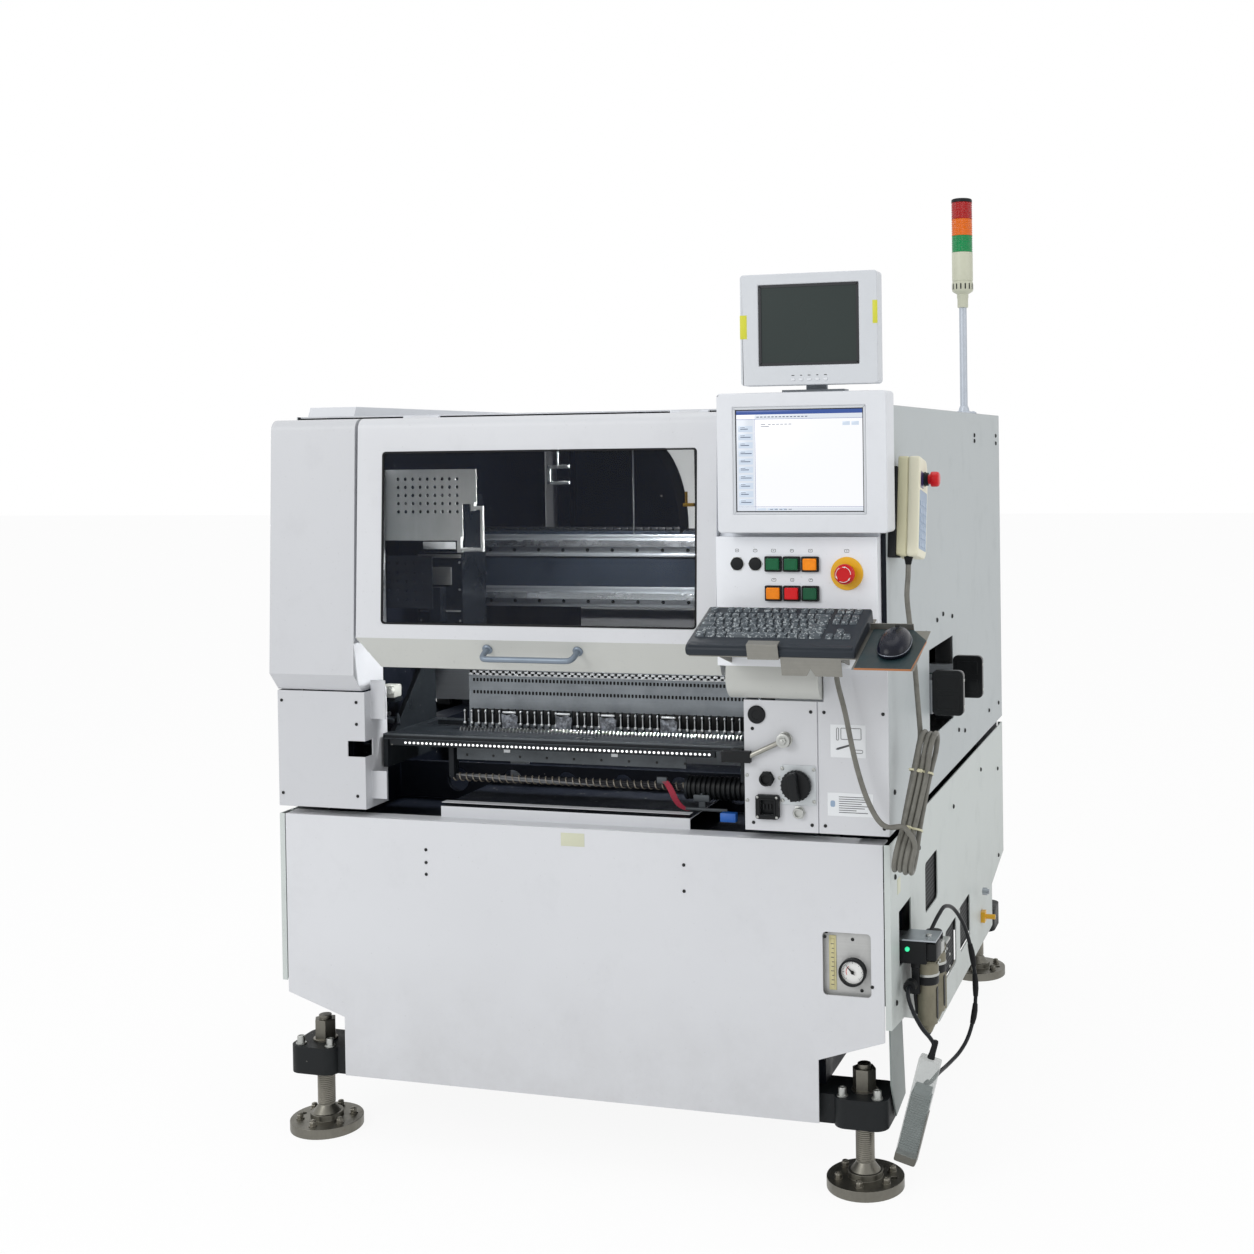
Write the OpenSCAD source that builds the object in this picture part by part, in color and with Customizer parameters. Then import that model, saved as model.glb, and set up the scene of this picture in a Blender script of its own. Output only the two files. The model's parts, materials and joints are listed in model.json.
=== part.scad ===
// Floor-standing placement machine for circuit boards, in millimetres.
// Origin: on the floor, midway between the four levelling feet.
// +X is the operator's right, +Y runs from the operator into the machine, +Z is up.

/* [Machine body] */
// Width over the side covers
body_w = 1300; // [1260:10:1400]
// Depth over the front and rear panels
body_d = 1400; // [1360:10:1500]
// Height of the roof over the floor
body_h = 1494; // [1480:1:1520]
// Height of the lower edge of the front and rear panels
ground_gap = 132; // [120:1:145]
// Height of the upper edge of the lower panels
lower_top = 669; // [655:1:680]
// Sheet thickness of covers and panels
sheet = 3; // [2:0.5:4]
// Height of the dark gap between lower panels and upper covers
cover_gap = 16; // [8:1:24]
// Width of the folded edge where side sheets turn to the front
fold_w = 12; // [8:1:20]
// Gap between neighbouring cover edges
seam = 2; // [1:0.5:3]
// Width of the corner cut above each foot
corner_cut_w = 144; // [130:1:160]
// Height of the corner cut at the outer edge
corner_cut_z = 296; // [280:1:310]
// Height of the corner cut at its inner end
corner_cut_in_z = 253; // [240:1:262]
// Height of the lower edge of the side panels
side_bottom_z = 176; // [165:1:190]

/* [Front covers] */
// Width of the upper left cover
left_cover_w = 195; // [180:1:205]
// Height of the lower edge of the upper left cover
left_cover_z = 928; // [915:1:940]
// Gap between the upper left cover and the access door
door_gap = 7; // [5:1:10]
// Height of the lower edge of the access door
door_z = 979; // [970:1:990]
// Height where the door face turns into its chin
chin_z = 1042; // [1030:1:1055]
// Depth of the front covers behind the front panel plane
cover_depth = 90; // [80:1:110]
// How far the cover faces stand out at their lower edge
face_lean = 26; // [20:1:32]
// Radius along the upper front edge
brow_r = 22; // [15:1:28]
// Distance of the window from the left edge of the door
window_left = 56; // [50:1:70]
// Distance of the window from the right edge of the door
window_right = 40; // [36:1:56]
// Distance of the window from the chin
window_low = 28; // [24:1:40]
// Distance of the window from the upper edge of the door
window_high = 68; // [60:1:80]
// Thickness of the smoked pane
pane_t = 4; // [3:0.5:6]
// Length of the door handle
handle_len = 206; // [180:2:240]
// Diameter of the door handle bar
handle_d = 13; // [10:1:16]
// Standoff of the handle bar from the chin
handle_stand = 36; // [30:1:44]

/* [Right front] */
// Width of the operating panel
console_w = 314; // [300:1:320]
// Height of the lower edge of the operating panel
console_z = 1003; // [996:1:1012]
// Height of the upper edge of the operating panel
console_top = 1248; // [1240:1:1252]
// How far the operating panel stands out
console_out = 27; // [22:1:34]
// Distance of the lower right cover from the left edge of the operating panel
right_cover_in = 42; // [36:1:46]
// Width of the strip of the side cover beside the operating panel
corner_strip = 9; // [8:1:14]
// Pitch of the push buttons across
button_pitch_x = 36; // [34:0.5:40]
// Pitch of the push buttons in height
button_pitch_z = 55; // [48:1:60]
// Width of a push button
button_w = 26; // [22:1:28]
// Height of a push button
button_h = 22; // [18:1:26]
// Travel of a push button
button_travel = 3; // [2:0.5:4]
// Diameter of the emergency stop head
stop_d = 38; // [34:1:44]
// Travel of an emergency stop head
stop_travel = 4; // [3:0.5:5]
// Diameter of the yellow disc behind the emergency stop
stop_disc_d = 62; // [56:1:68]
// Diameter of the main switch knob
switch_d = 58; // [50:1:62]

/* [Displays] */
// Width of the main display housing
display_w = 326; // [310:1:332]
// Height of the main display housing
display_h = 261; // [250:1:268]
// Depth of the main display housing
display_t = 65; // [55:1:75]
// Width of the main screen
screen_w = 255; // [240:1:262]
// Height of the main screen
screen_h = 200; // [188:1:206]
// Width of the vision display
vision_w = 262; // [250:1:270]
// Height of the vision display
vision_h = 206; // [196:1:216]
// Depth of the vision display
vision_t = 40; // [34:1:44]
// Gap between the two displays
display_gap = 13; // [12:1:18]
// Diameter of the tilt pin of the vision display
tilt_pin_d = 12; // [10:1:14]

/* [Signal tower] */
// Distance of the pole from the right side cover
tower_in = 50; // [40:1:70]
// Position of the pole in depth
tower_y = 450; // [400:10:520]
// Diameter of the pole
pole_d = 19; // [16:1:22]
// Height of the pole above the roof
pole_h = 276; // [250:2:300]
// Diameter of the lens stack
lens_d = 53; // [46:1:58]
// Height of one lens
lens_h = 42; // [36:1:46]

/* [Keyboard tray] */
// Tilt of the tray towards the operator, in degrees
tray_tilt = 18; // [14:1:22]
// Width of the keyboard
keyboard_w = 314; // [300:1:316]
// Depth of the keyboard
keyboard_l = 155; // [145:1:160]
// Thickness of the keyboard
keyboard_t = 24; // [20:1:28]
// Width of the mouse shelf
shelf_w = 110; // [100:1:116]
// Depth of the mouse shelf
shelf_l = 162; // [150:1:168]
// Thickness of the mouse mat
mat_t = 4; // [3:0.5:6]

/* [Pendant] */
// Width of the pendant
pendant_w = 84; // [76:1:90]
// Height of the pendant
pendant_h = 190; // [180:1:196]
// Thickness of the pendant
pendant_t = 42; // [36:1:46]
// Lean of the pendant in its holder, in degrees
pendant_lean = 10; // [6:1:12]
// Thickness of the holder between side cover and pendant
holder_t = 15; // [12:1:20]
// Diameter of the stop button on the pendant
pendant_stop_d = 29; // [26:1:32]

/* [Base] */
// Distance of each foot axis from the side covers
foot_in_x = 67; // [64:1:72]
// Distance of each foot axis from the front and rear panels
foot_in_y = 51; // [48:1:58]
// Diameter of a foot plate
foot_d = 150; // [140:1:160]
// Thickness of a foot plate
foot_t = 20; // [16:1:24]
// Diameter of a levelling spindle
spindle_d = 34; // [30:1:38]
// Distance of the anchor hole from the foot axis
anchor_r = 56; // [52:1:60]
// Diameter of the anchor hole
anchor_d = 13; // [10:1:16]
// Thickness of a foot bracket
bracket_t = 56; // [50:1:60]
// Width of the steel beams of the base ring
beam_w = 100; // [90:1:110]
// Height of the base ring
ring_h = 110; // [100:1:120]
// Width of a corner post
post_w = 100; // [90:1:110]
// Height of the upper face of the machine bed
bed_z = 650; // [640:1:654]
// Thickness of the machine bed
bed_t = 50; // [40:1:60]
// Distance of each side wall from the side cover
wall_gap = 57; // [50:1:62]
// Thickness of a side wall
wall_t = 60; // [54:1:66]
// Height of the upper face of the side walls
wall_top = 1120; // [1110:1:1130]

/* [Motion system] */
// Running clearance between sliding parts
run_gap = 0.3; // [0.2:0.05:0.5]
// Radial clearance of pins and spindles in their bores
bore_gap = 0.1; // [0.05:0.01:0.15]
// Width of a linear rail
rail_w = 24; // [20:1:28]
// Height of a linear rail
rail_h = 20; // [16:1:22]
// Front face of the gantry beam in depth at rest
beam_y = -250; // [-260:1:-240]
// Depth of the gantry beam
gantry_t = 120; // [110:1:130]
// Height of the lower edge of the gantry beam
gantry_z = 1062; // [1055:1:1070]
// Height of the gantry beam
gantry_h = 170; // [160:1:175]
// Width of the placement head
head_w = 110; // [104:1:120]
// Depth of the placement head
head_t = 116; // [108:1:120]
// Distance of the parked placement head from the end of the beam
head_park = 80; // [70:1:90]
// Pitch of the nozzles
nozzle_pitch = 24; // [22:0.5:25]
// Diameter of a nozzle spindle
nozzle_d = 12; // [10:1:14]
// Travel of a nozzle
nozzle_travel = 60; // [50:1:64]
// Height of the nozzle tips at rest
nozzle_z = 968; // [966:1:972]

/* [Conveyor] */
// Height of the board support belts over the floor
line_z = 900; // [890:1:903]
// Front edge of the openings in the side covers
slot_y = -300; // [-310:1:-296]
// Depth of the openings in the side covers
slot_w = 280; // [270:1:290]
// Height of the openings in the side covers
slot_h = 187; // [180:1:195]
// Lower edge of the openings in the side covers
slot_z = 798; // [790:1:806]
// Thickness of a conveyor rail
track_t = 16; // [14:1:20]
// Diameter of the width guide rods
guide_d = 16; // [12:1:18]
// Travel of the rear rail towards the front one
width_travel = 120; // [100:1:130]

/* [Feeder bank] */
// Distance of the feeder bank from the left edge of the door
bank_in = 8; // [4:1:12]
// How far the feeder bank reaches behind the operating panel
bank_behind = 25; // [19:1:29]
// Height of the shelf the feeders stand on
bank_z = 832; // [826:1:838]
// Pitch of the feeder slots
slot_pitch = 8; // [8:1:10]
// Width of a feeder slot
slot_wide = 4; // [3:0.5:4.5]
// Pitch of the feeder clamps
clamp_pitch = 16; // [16:1:20]

/* [Air supply] */
// Diameter of the filter bowls
bowl_d = 40; // [36:1:44]
// Height of the filter bowls
bowl_h = 120; // [110:1:126]
// Diameter of the pressure gauge
gauge_d = 52; // [46:1:58]
// Diameter of the air inlet nipple
inlet_d = 12; // [10:1:14]
// Length of the air inlet nipple
inlet_len = 24; // [20:1:30]

/* [Hidden] */
$fn = 48;

side_x = body_w / 2;
back_y = body_d / 2;
front_y = -back_y;
cover_z = lower_top + cover_gap;
inner_x = side_x - sheet;
module_y = front_y + cover_depth;
panel_x = side_x - fold_w - seam;
hinge_y = module_y + 5;
hinge_z = body_h - 6;
knuckle_r = 4;
hinge_pin_r = 2.5;

// Front covers
left_cover_x = -side_x + left_cover_w;
console_x1 = side_x - corner_strip - seam;
console_x0 = console_x1 - console_w;
right_cover_x = console_x0 + right_cover_in;
door_x0 = left_cover_x + door_gap;
door_x1 = console_x0 - seam;
window_w = door_x1 - door_x0 - window_left - window_right;
window_x = door_x0 + window_left + window_w / 2;
console_y = front_y - console_out;
face_y = front_y - 5;
face_top_z = body_h - 8;
window_h = face_top_z - window_high - chin_z - window_low;
window_z = chin_z + window_low + window_h / 2;

// Displays
display_x = console_x0 + 180;
display_z0 = console_top + 9;
display_y = front_y - display_t;
vision_x = display_x + 18;
vision_z0 = display_z0 + display_h + display_gap;
vision_y = front_y - 27 - vision_t;
tilt_y = front_y - 13;
tilt_z = vision_z0 + vision_h * 0.5;

// Operating panel
button_x = console_x0 + 150;
button_z = console_top - 51;
stop_x = button_x + 106;
stop_z = console_top - 68;
stop_stem_r = stop_d * 0.32;
switch_x = right_cover_x + 104;
switch_z = cover_z + 90;

// Base
foot_x = side_x - foot_in_x;
foot_y = back_y - foot_in_y;
bracket_z = ground_gap - 4;
ring_z = bracket_z + bracket_t;
ring_x = panel_x - corner_cut_w + fold_w;
ring_y = foot_y - 12;
wall_y = ring_y - 30;
post_z = ring_z + ring_h;
bed_low = bed_z - bed_t;
wall_out = inner_x - wall_gap;
wall_in = wall_out - wall_t;

// Motion
rail_x = (wall_in + wall_out) / 2;
rail_top = wall_top + rail_h;
rail_y = back_y - 140;
truck_z = rail_top + run_gap;
gantry_top = gantry_z + gantry_h;
head_y = beam_y - run_gap - 18;
head_z0 = nozzle_z + 52;
head_z1 = gantry_top + 86;
nozzle_y = head_y - head_t + 46;
gantry_x = wall_in - 10;
head_x = -gantry_x + head_park;
rail_low_z = gantry_z + 26;
rail_high_z = gantry_top - 26;

// Conveyor
track_y0 = slot_y + 8;
track_y1 = slot_y + slot_w - 8 - track_t;
guide_z = line_z - 34;
guide_x = 300;
track_foot_y = track_y1 + track_t + 96;

// Feeder bank
bank_x0 = door_x0 + bank_in;
bank_x1 = console_x0 + bank_behind;
bank_y0 = front_y + 60;
bank_y1 = slot_y - 130;
slot_plate_y = bank_y0 + 120;
strip_z = bank_z - 16;

// Keyboard tray
tray_x0 = console_x0 + 5;
tray_x1 = console_x1 + 1;
tray_y = front_y - 205;
tray_z = console_z + 42;

// Pendant
pendant_y = front_y + 70;
pendant_z = console_top + 49;
pendant_x = side_x + holder_t;
pendant_stem_r = pendant_stop_d / 2 - 5;
relief_y = -pendant_w / 2 + 18;
relief_z = -pendant_h / 2 - 14;

// Air supply
hatch_y0 = front_y + 72;
hatch_w = 112;
hatch_z0 = 418;
hatch_h = 106;
gauge_x = panel_x - 62;
gauge_z = 424;
bowl_y1 = front_y + 118;
bowl_y2 = bowl_y1 + 74;
bowl_x = side_x + 44;
bowl_top = 420;
inlet_y = 332;
inlet_z = 246;

// A cuboid between two corners
module block(x0, x1, y0, y1, z0, z1) {
    translate([x0, y0, z0])
        cube([x1 - x0, y1 - y0, z1 - z0]);
}

// A 2D outline drawn in X and Z, thickened from y0 to y1
module slab_y(y0, y1) {
    translate([0, y1, 0])
        rotate([90, 0, 0])
            linear_extrude(y1 - y0)
                children();
}

// A 2D outline drawn in Y and Z, thickened from x0 to x1
module slab_x(x0, x1) {
    translate([x0, 0, 0])
        rotate([90, 0, 90])
            linear_extrude(x1 - x0)
                children();
}

// A rectangle with round corners, centred on a point
module round_rect(cx, cy, w, h, r) {
    translate([cx, cy]) {
        square([w - 2 * r, h], center = true);
        square([w, h - 2 * r], center = true);
        for (sx = [-1, 1], sy = [-1, 1])
            translate([sx * (w / 2 - r), sy * (h / 2 - r)])
                circle(r);
    }
}

// A round bar along X, along Y or upright
module bar_x(x0, x1, y, z, r) {
    translate([x0, y, z])
        rotate([0, 90, 0])
            cylinder(h = x1 - x0, r = r);
}
module bar_y(x, y0, y1, z, r) {
    translate([x, y1, z])
        rotate([90, 0, 0])
            cylinder(h = y1 - y0, r = r);
}
module bar_z(x, y, z0, z1, r) {
    translate([x, y, z0])
        cylinder(h = z1 - z0, r = r);
}

// Base: ring of beams, floor plate, posts, bed, side walls and the lower rails
module base_frame() {
    hole_r = 26;
    rack_gap = 40;
    color("#34383b") {
        difference() {
            block(-ring_x, ring_x, -ring_y, ring_y, ring_z, post_z);
            block(-ring_x + beam_w, ring_x - beam_w, -ring_y + beam_w, ring_y - beam_w,
                ring_z + 10, post_z + 1);
        }
        for (sx = [-1, 1], sy = [-1, 1])
            block(min(sx * ring_x, sx * (ring_x - post_w)), max(sx * ring_x, sx * (ring_x - post_w)),
                min(sy * ring_y, sy * (ring_y - post_w)), max(sy * ring_y, sy * (ring_y - post_w)),
                post_z, bed_low);
        // Control rack that shows through the vents, open below
        difference() {
            block(-ring_x + rack_gap, side_x - 22, -ring_y + post_w + rack_gap, ring_y - post_w - rack_gap,
                post_z, bed_low - rack_gap);
            block(-ring_x + rack_gap + sheet, side_x - 22 - sheet, -ring_y + post_w + rack_gap + sheet,
                ring_y - post_w - rack_gap - sheet, post_z - 1, bed_low - rack_gap - sheet);
        }
        // Bed
        block(-wall_out, wall_out, -ring_y, ring_y, bed_low, bed_z);
        // Front web of the bed with round openings
        slab_y(bank_y1 + 20, bank_y1 + 32)
            difference() {
                translate([-wall_in, bed_z])
                    square([2 * wall_in, 80]);
                for (i = [-3:3])
                    translate([i * 130, bed_z + 42])
                        circle(hole_r);
            }
        // Side walls with the board windows
        for (s = [-1, 1])
            slab_x(min(s * wall_in, s * wall_out), max(s * wall_in, s * wall_out))
                difference() {
                    translate([-wall_y, bed_z])
                        square([2 * wall_y, wall_top - bed_z]);
                    translate([slot_y - 20, slot_z - 8])
                        square([slot_w + 40, slot_h + 16]);
                }
        // Upper posts under the roof
        for (sx = [-1, 1], sy = [-1, 1])
            block(sx * rail_x - 20, sx * rail_x + 20, sy * (wall_y - 20) - 20, sy * (wall_y - 20) + 20,
                wall_top, body_h - sheet);
        // Lower rails of the gantry
        for (s = [-1, 1])
            block(s * rail_x - rail_w / 2, s * rail_x + rail_w / 2, -rail_y, rail_y, wall_top, rail_top);
    }
}

// Four levelling feet: plate with bolts, boss, cone, spindle and hexagon nut
module levelling_feet() {
    color("#8c8a82")
        for (sx = [-1, 1], sy = [-1, 1])
            translate([sx * foot_x, sy * foot_y, 0]) {
                difference() {
                    union() {
                        cylinder(h = foot_t, r = foot_d / 2);
                        translate([0, 0, foot_t])
                            cylinder(h = 12, r = spindle_d);
                        translate([0, 0, foot_t + 12])
                            cylinder(h = 16, r1 = spindle_d * 0.85, r2 = spindle_d / 2);
                        cylinder(h = bracket_z, r = spindle_d / 2);
                        for (a = [30:60:330])
                            rotate([0, 0, a])
                                translate([anchor_r - 2, 0, foot_t])
                                    cylinder(h = 12, r = 6);
                    }
                    translate([sx * anchor_r, 0, -1])
                        cylinder(h = foot_t + 2, r = anchor_d / 2);
                }
                translate([0, 0, bracket_z])
                    cylinder(h = bracket_t + 52, r = spindle_d / 2 - 4);
                translate([0, 0, ring_z])
                    difference() {
                        cylinder(h = 44, r = spindle_d * 0.68, $fn = 6);
                        translate([0, 0, -1])
                            cylinder(h = 46, r = spindle_d / 2 - 4);
                    }
            }
}

// Cast brackets under the corners of the ring, one over each foot
module foot_brackets() {
    color("#2b2f33")
        for (sx = [-1, 1], sy = [-1, 1])
            translate([0, 0, bracket_z])
                difference() {
                    linear_extrude(bracket_t) {
                        translate([sx * (foot_x - 75), sy * (foot_y - 10)])
                            square([150, 92], center = true);
                        translate([sx * (foot_x + 2), sy * foot_y])
                            round_rect(0, 0, 106, 112, 26);
                    }
                    translate([sx * foot_x, sy * foot_y, -1])
                        cylinder(h = bracket_t + 2, r = spindle_d / 2 - 4);
                }
    color("#b9b9b2")
        for (sx = [-1, 1], sy = [-1, 1], dx = [-34, 34])
            bar_z(sx * foot_x + dx, sy * foot_y - 38, ring_z, ring_z + 16, 8);
}

// Outline of a front or rear lower panel with its corner cuts
module lower_outline(half_w, top) {
    in_x = side_x - corner_cut_w;
    polygon([
        [-half_w, top], [half_w, top],
        [half_w, corner_cut_z], [in_x, corner_cut_in_z], [in_x, ground_gap],
        [-in_x, ground_gap], [-in_x, corner_cut_in_z], [-half_w, corner_cut_z]
    ]);
}

module front_lower_panel() {
    win_w = 94;
    win_h = 120;
    ledge_h = 22;
    ledge_x0 = door_x0 + 148;
    ledge_x1 = door_x1 - 83;
    color("#d7dadd") {
        slab_y(front_y, front_y + sheet)
            difference() {
                lower_outline(panel_x, lower_top);
                round_rect(gauge_x - 10, gauge_z + 15, win_w, win_h, 8);
            }
        block(-panel_x, panel_x, front_y + sheet, front_y + 45, lower_top - sheet, lower_top);
        // Raised ledge behind the panel, folded from the same sheet
        block(ledge_x0, ledge_x1, front_y + 45 - sheet, front_y + 45, lower_top - 1, lower_top + ledge_h);
        block(ledge_x0, ledge_x1, front_y + 44, bank_y1 + 20, lower_top + ledge_h - sheet,
            lower_top + ledge_h);
    }
}

module rear_lower_panel() {
    top = door_z - 9;
    color("#d3d6d8") {
        slab_y(back_y - sheet, back_y)
            lower_outline(panel_x, top);
        block(-wall_out, wall_out, wall_y, back_y - sheet, top - sheet, top);
    }
}

// Outline of a side lower panel in Y and Z
module side_outline() {
    polygon([
        [front_y + sheet, lower_top], [back_y, lower_top],
        [back_y, corner_cut_z + 24], [back_y - 200, corner_cut_z - 14], [back_y - 200, side_bottom_z],
        [front_y + 470, side_bottom_z], [front_y + 112, corner_cut_z + 12],
        [front_y + sheet, corner_cut_z + 24]
    ]);
}

module side_folds(s, z0, z1) {
    x0 = min(s * side_x, s * (side_x - fold_w));
    x1 = max(s * side_x, s * (side_x - fold_w));
    block(x0, x1, front_y, front_y + sheet, z0, z1);
    block(x0, x1, back_y, back_y + sheet, z0, z1);
}

// Brackets that carry a lower side panel on the posts
module side_panel_ties(s) {
    for (y = [-foot_y + 60, foot_y - 110])
        block(min(s * inner_x, s * ring_x), max(s * inner_x, s * ring_x), y, y + 40,
            lower_top - 120, lower_top - 112);
}

module left_lower_panel() {
    color("#b9c2c4") {
        slab_x(-side_x, -inner_x)
            side_outline();
        side_folds(-1, corner_cut_z + 24, lower_top);
        side_panel_ties(-1);
    }
}

module right_lower_panel() {
    color("#b9c2c4") {
        difference() {
            slab_x(inner_x, side_x)
                side_outline();
            block(inner_x - 1, side_x + 1, hatch_y0, hatch_y0 + hatch_w, hatch_z0, hatch_z0 + hatch_h);
            block(inner_x - 1, side_x + 1, inlet_y - 14, inlet_y + 14, inlet_z - 14, inlet_z + 14);
            for (v = [[-303, 500], [-88, 294], [96, 298]])
                slab_x(inner_x - 1, side_x + 1)
                    round_rect(v[0], v[1], 134, 104, 12);
        }
        side_folds(1, corner_cut_z + 24, lower_top);
        side_panel_ties(1);
        // Narrow sheet that screens the bracket from the side
        slab_x(inner_x - 2 * sheet, inner_x - sheet)
            polygon([
                [front_y + 10, corner_cut_z + 60], [front_y + 110, corner_cut_z + 60],
                [front_y + 142, ground_gap + 16], [front_y + 58, ground_gap + 4],
                [front_y + 18, ground_gap + 78]
            ]);
        block(inner_x - sheet, inner_x, front_y + 30, front_y + 90, corner_cut_z + 30, corner_cut_z + 60);
    }
}

// Upper side cover with the opening the boards pass through
module side_cover(s) {
    x0 = min(s * inner_x, s * side_x);
    x1 = max(s * inner_x, s * side_x);
    first_y = s > 0 ? front_y + sheet : module_y;
    difference() {
        block(x0, x1, first_y, back_y, cover_z, body_h);
        block(x0 - 1, x1 + 1, slot_y, slot_y + slot_w, slot_z, slot_z + slot_h);
    }
    f0 = min(s * side_x, s * (side_x - fold_w));
    f1 = max(s * side_x, s * (side_x - fold_w));
    block(f0, f1, back_y, back_y + sheet, cover_z, body_h);
    if (s > 0)
        block(console_x1 + seam, side_x, front_y, front_y + sheet, console_z, body_h);
    // Brackets to the side wall
    for (y = [-rail_y + 20, rail_y - 60], z = [cover_z + 20, wall_top - 30])
        block(min(s * wall_out, s * inner_x), max(s * wall_out, s * inner_x), y, y + 40, z, z + 6);
}

module left_side_cover() {
    color("#b9c2c4")
        side_cover(-1);
}

module right_side_cover() {
    color("#b9c2c4")
        side_cover(1);
}

// One hinge line of a cover: knuckles at both sides of each door leaf, with the pin through them
door_leaves = [door_x0 + 70, door_x1 - 110];
rear_leaves = [-320, 280];
leaf_w = 40;
module hinge_knuckles(leaves) {
    for (x = leaves) {
        for (kx = [x - 20 - run_gap, x + leaf_w + run_gap]) {
            bar_x(kx, kx + 20, hinge_y, hinge_z, knuckle_r);
            block(kx, kx + 20, hinge_y, module_y + 11, hinge_z, body_h - sheet);
        }
        bar_x(x - 20, x + leaf_w + 20, hinge_y, hinge_z, hinge_pin_r);
    }
}

module door_knuckles(leaves) {
    for (x = leaves)
        difference() {
            union() {
                bar_x(x, x + leaf_w, hinge_y, hinge_z, knuckle_r);
                block(x, x + leaf_w, module_y - 2, hinge_y, face_top_z - sheet, face_top_z);
            }
            bar_x(x - 1, x + leaf_w + 1, hinge_y, hinge_z, hinge_pin_r + bore_gap);
        }
}

module top_cover() {
    hatch_x = -inner_x + 18;
    hatch_wide = 110;
    hatch_high = 20;
    roof_y = module_y + 10;
    color("#dcdfe1") {
        block(-inner_x, inner_x, roof_y, -roof_y, body_h - sheet, body_h);
        slab_x(hatch_x, hatch_x + hatch_wide)
            polygon([
                [roof_y, body_h - 1], [roof_y, body_h], [roof_y + 10, body_h + hatch_high],
                [300, body_h + hatch_high], [330, body_h], [330, body_h - 1]
            ]);
        hinge_knuckles(door_leaves);
        mirror([0, 1, 0])
            hinge_knuckles(rear_leaves);
    }
}

// Profile of a front cover in Y and Z, set in by t on all sides but the open back
function cover_profile(z0, chin, t) = concat(
    [[module_y + (t > 0 ? 1 : 0), z0 + t], [front_y + (t > 0 ? t : 0) + 4, z0 + t]],
    [[face_y - face_lean + 4 + t, chin + t * 0.4]],
    [for (a = [180:-18:90])
        [face_y + brow_r + (brow_r - t) * cos(a), face_top_z - brow_r + (brow_r - t) * sin(a)]],
    [[module_y + (t > 0 ? 1 : 0), face_top_z - t]]
);

// A cover shell open at the back
module cover_shell(x0, x1, z0, chin) {
    difference() {
        slab_x(x0, x1)
            polygon(cover_profile(z0, chin, 0));
        slab_x(x0 + sheet, x1 - sheet)
            polygon(cover_profile(z0, chin, sheet));
    }
}

module front_left_cover() {
    color("#d9dcdf") {
        cover_shell(-side_x, left_cover_x, left_cover_z, left_cover_z + 36);
        // Strap from the side of the shell to the front of the left post
        block(-inner_x, -rail_x, module_y - 20, -wall_y, wall_top + 60, wall_top + 100);
    }
}

module front_left_lower_cover() {
    top = left_cover_z - seam;
    right = left_cover_x + 8;
    color("#d9dcdf") {
        difference() {
            union() {
                block(-side_x, right, front_y, front_y + sheet, cover_z, top);
                block(-side_x, -inner_x, front_y + sheet, module_y, cover_z, top);
                block(right - sheet, right, front_y + sheet, module_y, cover_z, top);
            }
            block(right - 40, right + 1, front_y - 1, front_y + 30, cover_z + 108, cover_z + 140);
        }
        // Flanges beside the feeder opening
        block(right, right + 34, front_y + 24, front_y + 24 + sheet, top - 58, top + 22);
        block(right, right + 34, front_y + 24, front_y + 24 + sheet, cover_z + 18, cover_z + 76);
        // Strap from the side of the shell to the front of the left wall
        block(-inner_x, -rail_x, module_y - 20, -wall_y, cover_z + 20, cover_z + 60);
    }
}

module console_housing() {
    inner_y = module_y;
    chin_x1 = console_x0 + 198;
    color("#d9dcdf") {
        difference() {
            block(console_x0, console_x1, console_y, inner_y, console_z, console_top);
            block(console_x0 + sheet, console_x1 - sheet, console_y + sheet, inner_y + 1,
                console_z + sheet, console_top - sheet);
        }
        difference() {
            block(console_x0, console_x1, front_y, inner_y, console_top, face_top_z);
            block(console_x0 + sheet, console_x1 - sheet, front_y + sheet, inner_y + 1,
                console_top - 1, face_top_z - sheet);
        }
        // Curved chin below the panel
        slab_x(console_x0 + 16, chin_x1)
            polygon(concat(
                [[inner_y, console_z - 12], [inner_y, console_z], [console_y, console_z]],
                [for (a = [180:15:255])
                    [console_y + 40 + 44 * cos(a), console_z - 22 + 44 * sin(a)]]
            ));
        // Strap from the side of the housing to the front of the right wall
        block(rail_x, console_x1 - 1, module_y - 20, -wall_y, console_z + 20, console_z + 60);
    }
}

module right_lower_cover() {
    top = console_z - seam;
    split_x = right_cover_x + 146;
    chin_x1 = console_x0 + 198;
    color("#d9dcdf") {
        difference() {
            union() {
                block(right_cover_x, split_x - seam / 2, front_y, front_y + sheet, cover_z, top - 66);
                block(split_x + seam / 2, side_x, front_y, front_y + sheet, cover_z, top - 66);
                block(chin_x1 + seam, side_x, front_y, front_y + sheet, top - 66, top);
            }
            bar_y(switch_x, front_y - 1, front_y + sheet + 1, switch_z, 9);
        }
        block(right_cover_x, right_cover_x + sheet, front_y + sheet, module_y, cover_z, top - 66);
        block(split_x - 12, split_x + 12, front_y + sheet, front_y + 2 * sheet, cover_z, top - 66);
        // Web from the cover to the front of the right wall
        block(rail_x, rail_x + sheet, front_y + sheet - 1, -wall_y, cover_z + 20, cover_z + 90);
    }
}

// Access door: a leaning face, a chin that turns back and a brow, hinged at the roof
module front_door() {
    cut = 40;
    color("#d9dcdf") {
        difference() {
            cover_shell(door_x0, door_x1, door_z, chin_z);
            slab_y(front_y - 60, module_y + 2)
                round_rect(window_x, window_z, window_w, window_h, 8);
            // Corner cut of the chin
            slab_y(front_y - 60, module_y + 2)
                polygon([[door_x0 - 1, chin_z], [door_x0 - 1, door_z - 1], [door_x0 + cut, door_z - 1]]);
        }
        door_knuckles(door_leaves);
    }
}

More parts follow.
